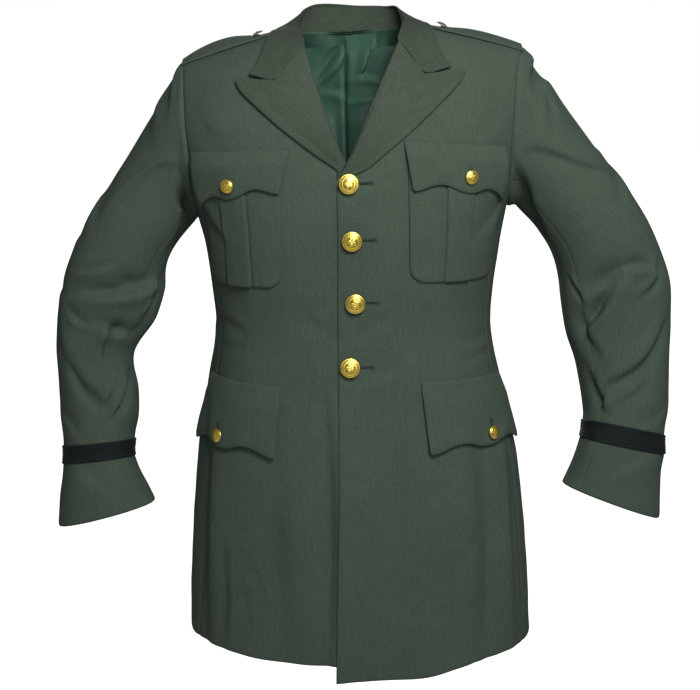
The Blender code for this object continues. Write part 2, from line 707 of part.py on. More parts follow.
def lapel_grid(side, rows, columns):
    """A patch between the roll line, the outer edge, the foot and the notched gorge, as x and level."""
    up = np.linspace(0, 1, rows + 1)
    roll_name = "left" if side == LEFT else "right"
    roll_level = ROLL_FOOT[side] + (GORGE_TOP - ROLL_FOOT[side]) * up
    roll_x = column(ROLL, roll_name, roll_level)
    foot = LAPEL_FOOT[side]
    edge = numbered([LapelEdge(foot.x * side, foot.level), *LAPEL_EDGE])(up * len(LAPEL_EDGE))
    edge_x, edge_level = edge[:, 0] * side, edge[:, 1]
    across = np.linspace(0, 1, columns + 1)
    top_x = np.interp(across, [0, NOTCH_SHARE, 1], [roll_x[-1], NOTCH.x * side, edge_x[-1]])
    top_level = np.interp(across, [0, NOTCH_SHARE, 1], [roll_level[-1], NOTCH.level, edge_level[-1]])
    x = roll_x[:, None] * (1 - across) + edge_x[:, None] * across
    level = roll_level[:, None] * (1 - across) + edge_level[:, None] * across
    bend = up[:, None] ** 3
    x = x + bend * (top_x - x[-1])
    level = level + bend * (top_level - level[-1])
    return x, level, np.broadcast_to(across, x.shape)


def make_lapels():
    """Facings turned out on the fronts, standing a little proud along the roll."""
    for word, side in SIDES.items():
        x, level, across = lapel_grid(side, 9, 6)
        base = overlap_lift(x) if side == LEFT else 0 * x
        stand_up = ease(np.linspace(0, 1, len(x)) / LAPEL_RISE_SHARE)[:, None]
        flat = CLOTH + CLEARANCE
        crown = ROLL_CROWN * np.sin(math.pi * np.clip(across / CROWN_SHARE, 0, 1))
        lift = base + flat + stand_up * (TURNED - flat + crown)
        points = turned_point(x, level, lift)
        outward = directions(points)
        outward *= -np.sign(outward[..., 1:2])
        points = draw_in(points, last_row=COLLAR_GAP, first_column=ROLL_GAP)
        wall(f"lapel_{word}", lean(points), outward, CLOTH, WOOL)


def collar_rows(shares):
    """Rows of the collar's stand, fold and fall at any share of the way from the centre back to a gorge."""
    mirrored = [row._replace(share=-row.share, seam_x=-row.seam_x, fold_x=-row.fold_x, edge_x=-row.edge_x)
                for row in COLLAR[:0:-1]]
    table = [*mirrored, *COLLAR]
    at = {name: column(table, name, shares) for name in Neck._fields[1:]}
    lines = ("seam", "fold", "edge")
    return tuple(np.stack([at[f"{line}_{axis}"] for axis in "xyz"], axis=-1) for line in lines)


def collar_end(side, fall):
    """The end of the fall: down the gorge seam from the roll to the notch, then to the collar's point."""
    corners = [
        turned_point(column(ROLL, "left" if side == LEFT else "right", GORGE_TOP), GORGE_TOP, COLLAR_LIFT),
        turned_point(side * NOTCH.x, NOTCH.level, COLLAR_LIFT),
        turned_point(side * COLLAR_POINT.x, COLLAR_POINT.level, COLLAR_LIFT),
    ]
    places = [0, NOTCH_SHARE, 1]
    return np.array([np.interp(fall, places, [corner[i] for corner in corners]) for i in range(3)]).T


def make_collar():
    """Stand and fall in one folded piece. Its ends follow the gorge, the notch and the point."""
    shares = np.linspace(-1, 1, 2 * COLLAR_ROWS + 1)
    seam, fold, edge = collar_rows(shares)
    fall = np.linspace(0, 1, 6)
    stand = seam[:, None] + (fold - seam)[:, None] * np.array(STAND_SHARES)[:, None]
    line = fold[:, None] + (edge - fold)[:, None] * fall[:, None]
    for side in (LEFT, RIGHT):
        toward_end = ease((side * shares - GORGE_START) / (1 - GORGE_START))[:, None, None]
        straight = fold[-1 if side == LEFT else 0] + (edge - fold)[-1 if side == LEFT else 0] * fall[:, None]
        line = line + toward_end * (collar_end(side, fall) - straight)
    line = settle(line, COLLAR_LIFT)
    points = np.concatenate([settle(stand, SEAM * 2), line], axis=1)
    outward = directions(points)
    inside = np.sum(outward[:, :1] * (points[:, :1] * [1, 1, 0]), axis=-1, keepdims=True)
    outward *= -np.sign(inside)
    points = draw_in(points, first_row=COLLAR_GAP, last_row=COLLAR_GAP)
    wall("collar", lean(points), outward, COLLAR_CLOTH, WOOL)


# Sewn on.

def laid_on(reach, level, lift):
    """Points on the body by distance round it and level, moved out, with their outward directions."""
    theta = theta_at_reach(np.abs(reach), level) * np.sign(reach)
    points, outward = skin(theta, level)
    return points + outward * np.asarray(lift)[..., None], outward


def scallop(share):
    """How far a flap's lower edge is cut up, from -1 to 1 across it: corners and a point, hollow between."""
    return (1 - np.cos(2 * math.pi * np.abs(share))) / 2


def flap_grid(flap, rows):
    """A flap's reach and level from its sewn top to its scalloped foot, with softly rounded corners."""
    across = np.linspace(-1, 1, FLAP_COLUMNS + 1)[None, :]
    down = np.linspace(0, 1, rows + 1)[:, None]
    share = (across + 1) / 2
    top = flap.top_inner + (flap.top_outer - flap.top_inner) * share
    foot = flap.foot_inner + (flap.foot_outer - flap.foot_inner) * share
    foot = foot + (flap.foot_middle - (flap.foot_inner + flap.foot_outer) / 2) * (1 - across**2)
    top_level = flap.top_inner_level + (flap.top_outer_level - flap.top_inner_level) * share
    foot_level = flap.foot_inner_level + (flap.foot_outer_level - flap.foot_inner_level) * share
    foot_level = foot_level + FLAP_SCOOP * scallop(across) + FLAP_POINT * (1 - np.abs(across)) ** 2
    corner = np.clip((np.abs(across) - 1) / FLAP_CORNER_SHARE + 1, 0, 1) ** 2
    foot_level = foot_level + FLAP_CORNER * corner
    return top + (foot - top) * down, top_level + (foot_level - top_level) * down, down + across * 0


def make_flaps():
    for word, side in SIDES.items():
        for name, flaps in (("breast", BREAST_FLAP), ("hip", HIP_FLAP)):
            reach, level, down = flap_grid(flaps[side], 3)
            lift = CLEARANCE + FLAP_CLOTH + FLAP_RISE[name] * ease(down / FLAP_TURN_SHARE)
            if side == LEFT:
                lift = lift + overlap_lift(reach)
            points, outward = laid_on(side * reach, level, lift)
            wall(f"{name}_flap_{word}", lean(points), outward, FLAP_CLOTH, WOOL)


def make_pockets():
    """Breast patch pockets, with a box pleat raised down the middle."""
    down = np.linspace(0, 1, 6)[:, None]
    for word, side in SIDES.items():
        pocket = POCKET[side]
        inner_fold, outer_fold = pocket.pleat_middle - PLEAT_HALF, pocket.pleat_middle + PLEAT_HALF
        across = np.array([
            *np.linspace(pocket.inner, inner_fold - PLEAT_STEP, 4),
            inner_fold + PLEAT_STEP,
            pocket.pleat_middle,
            outer_fold - PLEAT_STEP,
            *np.linspace(outer_fold + PLEAT_STEP, pocket.outer, 4),
        ])
        from_edge = np.minimum(across - pocket.inner, pocket.outer - across)
        inside = np.clip(1 - from_edge / POCKET_CORNER, 0, 1)
        foot = pocket.foot + POCKET_CORNER * POCKET_CORNER_DEPTH * (1 - np.sqrt(1 - inside**2))
        level = pocket.top + (foot - pocket.top) * down
        reach = np.broadcast_to(across, level.shape)
        raised = np.abs(reach - pocket.pleat_middle) < PLEAT_HALF
        lift = CLEARANCE + POCKET_CLOTH + PLEAT_RISE * raised
        if side == LEFT:
            lift = lift + overlap_lift(reach)
        points, outward = laid_on(side * reach, level, lift)
        wall(f"breast_pocket_{word}", lean(points), outward, POCKET_CLOTH, WOOL)


def loop_points(side, place, across):
    """Points on a loop by row number along it and from its front edge (0) to its back edge (1)."""
    x, front_y, back_y, front_lift, back_lift = np.moveaxis(numbered(LOOP)(place), -1, 0)
    x = x + LOOP_ROOT[side] * ease(1 - place / 2)
    y = front_y + (back_y - front_y) * across
    lift = front_lift + (back_lift - front_lift) * across
    return on_shoulder(np.broadcast_to(x, y.shape), y, lift) * [side, 1, 1]


def make_shoulder_loops():
    """Straps sewn in at the armhole, standing off the shoulder behind and buttoned down by the collar."""
    place = np.linspace(0, len(LOOP) - 1, 13)[:, None]
    across = np.linspace(0, 1, 5)[None, :]
    for word, side in SIDES.items():
        points = loop_points(side, place, across)
        outward = directions(points)
        outward *= np.sign(outward[..., 2:3])
        wall(f"shoulder_loop_{word}", lean(points), outward, LOOP_CLOTH, WOOL)


# Buttons.

def add_button(name, base, outward, radius):
    """A domed button turned about its shank."""
    outward = outward / np.linalg.norm(outward)
    sideways = np.cross(outward, [0, 0, 1])
    if np.linalg.norm(sideways) < 0.5:
        sideways = np.cross(outward, [0, 1, 0])
    sideways /= np.linalg.norm(sideways)
    upright = np.cross(outward, sideways)
    turn = 2 * math.pi * np.arange(BUTTON_SIDES)[:, None] / BUTTON_SIDES
    circle = np.cos(turn) * sideways + np.sin(turn) * upright
    rings = [base + circle * radius * row.radius + outward * radius * row.height for row in BUTTON_PROFILE]
    points = np.concatenate(rings)
    index = np.arange(len(points)).reshape(len(rings), BUTTON_SIDES)
    wrapped = np.concatenate([index, index[:, :1]], axis=1)
    cells = np.stack([wrapped[:-1, :-1], wrapped[:-1, 1:], wrapped[1:, 1:], wrapped[1:, :-1]], axis=-1)
    faces = [*cells.reshape(-1, 4).tolist(), index[0][::-1].tolist(), index[-1].tolist()]
    return add_object(name, points, faces, GILT)


def make_buttons():
    for number, place in enumerate(FRONT_BUTTONS, start=1):
        theta = theta_at_x(place.x, place.level)
        point, outward = skin(theta, place.level)
        seat = point + outward * (OVERLAP_LIFT + BUTTON_LIFT)
        add_button(f"front_button_{number}", lean(seat), outward, LARGE_BUTTON)
    for word, side in SIDES.items():
        for name, places in (("breast", BREAST_BUTTON), ("hip", HIP_BUTTON)):
            place = places[side]
            lift = np.array(FLAP_BUTTON_LIFT[name])
            point, outward = laid_on(np.array(side * place.reach), np.array(place.level), lift)
            add_button(f"{name}_button_{word}", lean(point), outward, SMALL_BUTTON)
        place = LOOP_BUTTON_PLACE + np.array([[-0.1], [0.0], [0.1]])
        seat = loop_points(side, place, np.array([[0.45, 0.5, 0.55]]))
        up = directions(seat)[1, 1]
        up *= np.sign(up[2])
        add_button(f"loop_button_{word}", lean(seat[1, 1] + up * BUTTON_LIFT), up, SMALL_BUTTON)


clear_scene()
make_fronts()
make_backs()
make_sides()
make_lining()
make_sleeves()
make_braid()
make_lapels()
make_collar()
make_flaps()
make_pockets()
make_shoulder_loops()
make_buttons()
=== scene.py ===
"""The looks of a military dress tunic, worn out over no wearer: every cut piece is a thin wall of cloth.

Metres, +Z up, the front faces -Y and the wearer's left is +X. The origin is the middle of the neck opening.
Heights called "level" are measured before the shoulders slope away; "reach" is the distance round the body
from the centre front, and is negative on the wearer's right.
"""

import math
from collections import namedtuple

import bpy
import numpy as np
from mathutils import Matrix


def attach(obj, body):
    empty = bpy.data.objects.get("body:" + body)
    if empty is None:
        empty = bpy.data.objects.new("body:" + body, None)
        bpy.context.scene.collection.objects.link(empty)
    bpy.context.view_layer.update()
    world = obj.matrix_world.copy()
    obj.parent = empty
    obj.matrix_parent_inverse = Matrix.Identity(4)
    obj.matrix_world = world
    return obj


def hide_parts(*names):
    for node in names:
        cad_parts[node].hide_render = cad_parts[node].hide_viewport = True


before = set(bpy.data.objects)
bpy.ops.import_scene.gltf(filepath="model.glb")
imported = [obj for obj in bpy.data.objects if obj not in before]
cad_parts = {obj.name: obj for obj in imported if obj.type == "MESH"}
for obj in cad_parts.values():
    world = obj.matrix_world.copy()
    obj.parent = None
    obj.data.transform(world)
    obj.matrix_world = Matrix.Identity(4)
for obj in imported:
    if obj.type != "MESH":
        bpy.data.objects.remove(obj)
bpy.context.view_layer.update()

# ------------------------------------------------------------------------------------------ Fronts
# Two fronts in wool serge, cut from the shoulder to the hem with one dart each, left over right. They are
# seamed to the side bodies and backs, and their edges are turned in and pressed. The coat's form, the folds
# of worn cloth and the wool are worked out here, where they are first needed.

# The wearer's sides, as the sign of x, and the word for each in the names of the pieces.
LEFT, RIGHT = 1, -1
SIDES = {"left": LEFT, "right": RIGHT}
WORDS = {side: word for word, side in SIDES.items()}

CLOTH = 0.0020
SEAM = 0.0002
CHEST_LEVEL = -0.212
ARM_OPENING_FOOT = -0.181
SHOULDER_FALL = 0.25
NECK_HALF = 0.080
FRONT_ROUNDING = 2.4
BACK_ROUNDING = 3.3
UNDERLAP = 0.018
OVERLAP_LIFT = 0.0030
OVERLAP_END = 0.075
OVERLAP_BLEND = 0.055
SIDE_SEAM = math.radians(67.5)
RING = 24
SEAM_STEP = 9
TILT = 0.047
TILT_FROM = 0.40
TILT_BLEND = 0.35
SHOULDER_TOP = -1e-9

Section = namedtuple("Section", "level half_width front_depth back_depth squareness")
SECTIONS = [
    Section(-0.760, 0.2130, 0.140, 0.136, 2.40),
    Section(-0.620, 0.2050, 0.136, 0.132, 2.40),
    Section(-0.500, 0.1935, 0.130, 0.126, 2.40),
    Section(-0.420, 0.1780, 0.122, 0.116, 2.40),
    Section(-0.347, 0.1660, 0.118, 0.110, 2.45),
    Section(-0.290, 0.1695, 0.123, 0.116, 2.55),
    Section(-0.212, 0.1830, 0.130, 0.124, 2.70),
    Section(-0.165, 0.2000, 0.130, 0.124, 2.70),
    Section(-0.106, 0.2145, 0.130, 0.124, 2.70),
    Section(0.000, 0.2180, 0.130, 0.124, 2.70),
]

# How far round the body the armhole lies, by the angle down from the shoulder.
Armhole = namedtuple("Armhole", "turn_deg left right")
ARMHOLE = [
    Armhole(0, 65.0, 59.5),
    Armhole(18, 63.6, 59.2),
    Armhole(54, 57.4, 57.0),
    Armhole(90, 56.2, 57.3),
    Armhole(112, 59.3, 60.6),
    Armhole(135, 67.5, 67.5),
    Armhole(158, 77.5, 77.5),
    Armhole(180, 90.0, 90.0),
]

Hem = namedtuple("Hem", "theta_deg left right")
HEM = [
    Hem(-8, -0.757, -0.736),
    Hem(2, -0.752, -0.736),
    Hem(17, -0.751, -0.734),
    Hem(32, -0.741, -0.732),
    Hem(50, -0.734, -0.727),
    Hem(90, -0.732, -0.726),
    Hem(180, -0.733, -0.733),
]

# How the worn coat stands, by height: its sideways shift, and the left front's edge.
Stand = namedtuple("Stand", "height shift front_edge")
STAND = [
    Stand(-0.760, 0.0085, -0.0292),
    Stand(-0.620, 0.0077, -0.0268),
    Stand(-0.500, 0.0050, -0.0222),
    Stand(-0.420, 0.0013, -0.0190),
    Stand(-0.340, -0.0010, -0.0174),
    Stand(-0.250, -0.0012, -0.0172),
    Stand(-0.185, -0.0025, -0.0166),
    Stand(-0.050, -0.0050, -0.0166),
    Stand(0.050, -0.0050, -0.0166),
]

Roll = namedtuple("Roll", "level left right")
ROLL = [
    Roll(-0.1850, -0.0166, 0.0130),
    Roll(-0.1665, -0.0122, 0.0020),
    Roll(-0.1386, 0.0010, -0.0118),
    Roll(-0.1094, 0.0136, -0.0222),
    Roll(-0.0499, 0.0409, -0.0422),
    Roll(-0.0206, 0.0545, -0.0510),
]
GORGE_TOP = -0.0206
ROLL_TURN = 0.0034

# Folds of the worn body: a soft trough along a bent line, with a ridge along one side of it. Widths with a
# minus sign put the ridge on the other side, and a depth with a minus sign raises the cloth.
Fold = namedtuple("Fold", "from_across from_along to_across to_along bend width depth ridge")
BODY_FOLDS = [
    Fold(-0.036, -0.430, -0.041, -0.746, 0.003, 0.010, 0.0052, 0.5),
    Fold(-0.100, -0.470, -0.092, -0.730, -0.006, 0.022, 0.0026, 0.8),
    Fold(-0.150, -0.592, -0.113, -0.664, 0.004, 0.006, 0.0007, 0.8),
    Fold(-0.142, -0.645, -0.134, -0.690, 0.001, 0.005, 0.0012, 0.7),
    Fold(-0.170, -0.600, -0.172, -0.724, 0.004, 0.007, 0.0020, 0.8),
    Fold(-0.196, -0.450, -0.206, -0.727, -0.006, 0.016, 0.0056, 0.7),
    Fold(0.030, -0.420, 0.040, -0.745, 0.006, 0.024, 0.0024, 0.6),
    Fold(0.096, -0.500, 0.104, -0.748, -0.005, 0.020, 0.0026, 0.8),
    Fold(0.152, -0.470, 0.155, -0.736, 0.005, 0.013, 0.0068, 0.0),
    Fold(0.188, -0.480, 0.195, -0.735, -0.004, 0.012, -0.0052, 0.0),
    Fold(0.127, -0.712, 0.141, -0.745, 0.001, 0.005, 0.0016, 0.6),
    Fold(0.032, -0.326, -0.008, -0.352, 0.003, 0.009, 0.0018, 0.7),
    Fold(0.052, -0.250, 0.010, -0.286, -0.003, 0.011, 0.0009, 0.7),
    Fold(0.060, -0.372, 0.014, -0.396, 0.003, 0.010, 0.0017, 0.7),
    Fold(-0.060, -0.318, -0.020, -0.352, -0.003, 0.010, 0.0010, 0.7),
    Fold(-0.175, -0.336, -0.128, -0.350, 0.003, 0.007, 0.0011, 0.8),
    Fold(-0.178, -0.362, -0.140, -0.366, -0.002, 0.006, 0.0008, 0.7),
    Fold(0.178, -0.352, 0.132, -0.362, 0.003, 0.007, 0.0013, 0.8),
    Fold(0.180, -0.378, 0.146, -0.380, -0.002, 0.006, 0.0012, 0.7),
    Fold(0.196, -0.176, 0.150, -0.232, 0.006, 0.009, 0.0026, 0.6),
    Fold(-0.196, -0.176, -0.156, -0.238, -0.006, 0.009, 0.0030, 0.6),
    Fold(0.172, -0.100, 0.140, -0.128, 0.004, 0.009, 0.0010, 0.6),
    Fold(-0.176, -0.084, -0.150, -0.120, -0.004, 0.009, 0.0010, 0.6),
    Fold(0.250, -0.200, 0.236, -0.330, 0.010, 0.012, 0.0028, 0.6),
    Fold(-0.248, -0.200, -0.236, -0.330, -0.010, 0.012, 0.0028, 0.6),
    Fold(0.262, -0.420, 0.286, -0.725, 0.008, 0.018, 0.0050, 0.5),
    Fold(-0.258, -0.430, -0.280, -0.722, -0.006, 0.018, 0.0048, 0.5),
    Fold(0.226, -0.350, 0.290, -0.372, 0.004, 0.007, 0.0020, 0.7),
    Fold(-0.222, -0.342, -0.292, -0.362, 0.004, 0.007, 0.0019, 0.7),
    Fold(0.360, -0.090, 0.400, -0.280, 0.012, 0.014, 0.0030, 0.6),
    Fold(-0.360, -0.096, -0.396, -0.262, -0.010, 0.014, 0.0032, 0.6),
    Fold(0.330, -0.330, 0.450, -0.352, 0.006, 0.009, 0.0028, 0.8),
    Fold(-0.322, -0.318, -0.440, -0.342, -0.006, 0.009, 0.0026, 0.8),
    Fold(0.360, -0.382, 0.470, -0.388, -0.005, 0.008, 0.0022, 0.7),
    Fold(-0.350, -0.372, -0.452, -0.390, 0.005, 0.008, 0.0020, 0.7),
    Fold(0.392, -0.440, 0.420, -0.725, 0.006, 0.020, 0.0048, 0.6),
    Fold(-0.384, -0.436, -0.410, -0.722, -0.007, 0.019, 0.0044, 0.6),
    Fold(0.500, -0.470, 0.512, -0.728, -0.006, 0.022, 0.0038, 0.6),
    Fold(-0.492, -0.462, -0.506, -0.728, 0.006, 0.021, 0.0040, 0.6),
]

# The dart of each front, as reach by level, from under the pocket to under the hip flap.
Dart = namedtuple("Dart", "level left right")
DART_SHOWN = {LEFT: 1.0, RIGHT: 0.45}
DARTS = [
    Dart(-0.420, 0.1212, 0.1262),
    Dart(-0.397, 0.1209, 0.1245),
    Dart(-0.343, 0.1200, 0.1215),
    Dart(-0.286, 0.1180, 0.1187),
    Dart(-0.250, 0.1170, 0.1175),
]
FOLD_CRISP = 0.62
FOLD_SOFT = 1.25
FOLD_RIDGE = 1.20
DART_WIDTH = 0.0016
DART_DEPTH = 0.0012
SEAM_DIP = 0.0011
SEAM_DIP_WIDTH = 0.0022
HEM_TURN = (0.0008, 0.0020)
FRONT_TURN = (0.0009, 0.0018)
DART_PUFF = 0.0009
DART_PUFF_WIDTH = 0.012
WAVER = 0.0005
TWILL = 0.00016
MATT = 0.92
FRONT_ROWS = (168, 72)
FRONT_COLUMNS = 96

WOOL_DARK = (0.0235, 0.0360, 0.0265)
WOOL_LIGHT = (0.0620, 0.0860, 0.0640)


def ease(share):
    """0 to 1, starting and ending level."""
    share = np.clip(share, 0, 1)
    return share * share * (3 - 2 * share)


def cubic(values, slopes, row, t, width=1.0):
    """A smooth cubic between row and row + 1 of a table, t of the way along, from its values and slopes."""
    start = (2 * t**3 - 3 * t**2 + 1) * values[row] + (t**3 - 2 * t**2 + t) * width * slopes[row]
    return start + (3 * t**2 - 2 * t**3) * values[row + 1] + (t**3 - t**2) * width * slopes[row + 1]


def column(rows, name, at):
    """A column of a table at any value of its first column, on a smooth cubic through the rows."""
    places = np.array([row[0] for row in rows], float)
    values = np.array([getattr(row, name) for row in rows], float)
    if places[0] > places[-1]:
        places, values = places[::-1], values[::-1]
    at = np.clip(at, places[0], places[-1])
    row = np.clip(np.searchsorted(places, at) - 1, 0, len(places) - 2)
    width = places[row + 1] - places[row]
    return cubic(values, np.gradient(values, places), row, (at - places[row]) / width, width)


def smoothed(values, place):
    """Rows of values (of any shape) as one smooth curve, at any row number."""
    place = np.clip(np.asarray(place, float), 0, len(values) - 1)
    row = np.clip(np.floor(place).astype(int), 0, len(values) - 2)
    t = (place - row).reshape(place.shape + (1,) * (values.ndim - 1))
    return cubic(values, np.gradient(values, axis=0), row, t)


def numbered(rows, place):
    """A table's rows as one smooth curve by row number."""
    return smoothed(np.array([tuple(row) for row in rows], float), place)


def form(theta, level):
    """The worn form: superellipses whose depth closes over the shoulders, which slope beyond the neck."""
    theta, level = np.broadcast_arrays(np.asarray(theta, float), np.asarray(level, float))
    power = 2 / column(SECTIONS, "squareness", level)
    rise = np.clip(1 - level / CHEST_LEVEL, 0, 1)
    front = column(SECTIONS, "front_depth", level) * (1 - rise**FRONT_ROUNDING) ** (1 / FRONT_ROUNDING)
    back = column(SECTIONS, "back_depth", level) * (1 - rise**BACK_ROUNDING) ** (1 / BACK_ROUNDING)
    across, along = np.sin(theta), np.cos(theta)
    x = column(SECTIONS, "half_width", level) * np.sign(across) * np.abs(across) ** power
    y = -np.where(along >= 0, front, back) * np.sign(along) * np.abs(along) ** power
    beyond = np.abs(x) - NECK_HALF
    z = level - SHOULDER_FALL * rise**2 * (beyond + np.hypot(beyond, 0.01)) / 2
    return np.stack([x, y, z], axis=-1)


def skin(theta, level):
    """Points of the form and the outward directions there."""
    step = 1e-4
    theta, level = np.broadcast_arrays(np.asarray(theta, float), np.asarray(level, float))
    round_body = form(theta + step, level) - form(theta - step, level)
    up_body = form(theta, np.minimum(level + step, -1e-7)) - form(theta, level - step)
    outward = np.cross(round_body, up_body)
    return form(theta, level), outward / np.linalg.norm(outward, axis=-1, keepdims=True)


def reach_tables():
    """Distance round the body for each level and angle, and the angle for each level and distance."""
    levels = np.linspace(-0.775, -0.001, 260)
    angles = np.linspace(0, math.pi, 361)
    steps = np.linalg.norm(np.diff(form(angles[None, :], levels[:, None]), axis=1), axis=-1)
    reach = np.concatenate([np.zeros((len(levels), 1)), np.cumsum(steps, axis=1)], axis=1)
    distances = np.linspace(0, 0.62, 621)
    return levels, angles, reach, distances, np.array([np.interp(distances, row, angles) for row in reach])


LEVELS, ANGLES, REACH_AT, DISTANCES, ANGLE_AT = reach_tables()


def between(table, columns, level, at):
    """A value from a table by level and by its columns, in a straight line between its entries."""
    level, at = np.broadcast_arrays(np.asarray(level, float), np.asarray(at, float))
    row = np.clip((level - LEVELS[0]) / (LEVELS[1] - LEVELS[0]), 0, len(LEVELS) - 1.001)
    col = np.clip((at - columns[0]) / (columns[1] - columns[0]), 0, len(columns) - 1.001)
    i, j = row.astype(int), col.astype(int)
    s, t = row - i, col - j
    upper = table[i, j] * (1 - t) + table[i, j + 1] * t
    return upper * (1 - s) + (table[i + 1, j] * (1 - t) + table[i + 1, j + 1] * t) * s


def reach_of(theta, level):
    """Distance round the body from the centre front, with the sign of the side."""
    theta = (np.asarray(theta, float) + math.pi) % (2 * math.pi) - math.pi
    return between(REACH_AT, ANGLES, level, np.abs(theta)) * np.sign(theta)


def theta_at_reach(reach, level):
    """The angle at a signed distance round the body."""
    return between(ANGLE_AT, DISTANCES, level, np.abs(reach)) * np.sign(reach)


def theta_at_x(x, level):
    """The angle at which the front of the form is x from the middle."""
    share = np.clip(np.abs(x) / column(SECTIONS, "half_width", level), 0, 1)
    return np.sign(x) * np.arcsin(share ** (column(SECTIONS, "squareness", level) / 2))


def armhole(side, step):
    """The angle and level of the front half of an armhole, by steps round it from the shoulder."""
    turn = 2 * math.pi * np.asarray(step, float) / RING
    theta = np.radians(column(ARMHOLE, WORDS[side], np.degrees(turn)))
    return theta, np.minimum(CHEST_LEVEL * (1 - np.cos(turn)) / 2, SHOULDER_TOP)


def hem(side, theta):
    """The level of the bottom edge at any angle round the body."""
    return column(HEM, WORDS[side], np.degrees(theta) * side)


def overlap_lift(x):
    """How far the left front stands out over the right one."""
    return OVERLAP_LIFT * ease((OVERLAP_END - x) / OVERLAP_BLEND)


def lean(points):
    """How the worn coat stands: the left shoulder a little higher, and the neck a little to the right."""
    moved = points.copy()
    moved[..., 0] += column(STAND, "shift", points[..., 2])
    moved[..., 2] += TILT * points[..., 0] * ease((points[..., 2] + TILT_FROM) / TILT_BLEND)
    return moved


FOLD_FADE = 1.6


def folds(rows, across, along):
    """How far folds move the cloth out: each a trough about a bent line, soft on one side and crisp on the
    other, where a ridge of the same form stands beside it. Both fade beyond the line's ends."""
    moved = np.zeros(np.broadcast(across, along).shape)
    for row in rows:
        run = np.array([row.to_across - row.from_across, row.to_along - row.from_along])
        length = np.hypot(*run)
        run /= length
        ahead = (across - row.from_across) * run[0] + (along - row.from_along) * run[1]
        aside = (along - row.from_along) * run[0] - (across - row.from_across) * run[1]
        share = np.clip(ahead / length, 0, 1)
        aside = (aside - row.bend * 4 * share * (1 - share)) / row.width
        beyond = np.maximum(np.maximum(-ahead, ahead - length), 0) / (FOLD_FADE * abs(row.width))
        strength = row.depth * (0.35 + 0.65 * np.sin(math.pi * share)) * np.exp(-(beyond**2))
        past = aside - FOLD_RIDGE
        trough = np.exp(-((aside / np.where(aside > 0, FOLD_CRISP, FOLD_SOFT)) ** 2))
        ridge = np.exp(-((past / np.where(past > 0, FOLD_SOFT, FOLD_CRISP)) ** 2))
        moved += strength * (row.ridge * ridge - trough)
    return moved


def waver(across, along, size):
    """The small unevenness of worn cloth: a few long waves that cross at odd angles."""
    wave = np.sin(61 * across + 23 * along + 0.7) + 0.8 * np.sin(-37 * across + 71 * along + 2.1)
    wave += 0.6 * np.sin(113 * across - 41 * along + 4.0) + 0.45 * np.sin(29 * across + 139 * along + 1.3)
    return size * wave * 0.5


SECOND_STEP = 2.4


def spaced(count, edge, ends=(True, True)):
    """Shares from 0 to 1 with two narrow steps at an end, so that an edge or a seam keeps its shape."""
    first = [0, edge, SECOND_STEP * edge] if ends[0] else [0]
    last = [1 - SECOND_STEP * edge, 1 - edge, 1] if ends[1] else [1]
    middle = np.linspace(first[-1], last[0], count - len(first) - len(last) + 2)
    return np.concatenate([first[:-1], middle, last[1:]])


def directions(grid, closed=False):
    """Unit directions square to a grid's surface."""
    across = np.gradient(grid, axis=1)
    if closed:
        across = np.roll(grid, -1, axis=1) - np.roll(grid, 1, axis=1)
    square = np.cross(across, np.gradient(grid, axis=0))
    return square / np.maximum(np.linalg.norm(square, axis=-1, keepdims=True), 1e-12)


def aligned(square, toward):
    """The directions, each turned to the side of the given ones."""
    sign = np.sign(np.sum(square * toward, axis=-1, keepdims=True))
    return square * np.where(sign == 0, 1, sign)


def add_mesh(name, points, faces, uv, material, attribute=None):
    """A smooth-shaded mesh object with UVs in metres."""
    mesh = bpy.data.meshes.new(name)
    mesh.from_pydata(points.tolist(), [], faces.tolist())
    corners = np.empty(len(mesh.loops), np.int32)
    mesh.loops.foreach_get("vertex_index", corners)
    mesh.uv_layers.new(name="cloth").data.foreach_set("uv", uv[corners].astype(np.float32).ravel())
    if attribute is not None:
        relief = mesh.attributes.new("relief", "FLOAT", "POINT")
        relief.data.foreach_set("value", attribute.astype(np.float32))
    mesh.polygons.foreach_set("use_smooth", np.ones(len(mesh.polygons), bool))
    mesh.materials.append(material)
    mesh.update()
    item = bpy.data.objects.new(name, mesh)
    bpy.context.scene.collection.objects.link(item)
    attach(item, "root")
    return item


def cells_of(index):
    """The four-cornered faces between the neighbours of a grid of vertex numbers."""
    corners = [index[:-1, :-1], index[:-1, 1:], index[1:, 1:], index[1:, :-1]]
    return np.stack(corners, axis=-1).reshape(-1, 4)


RIM_OUT = 0.33


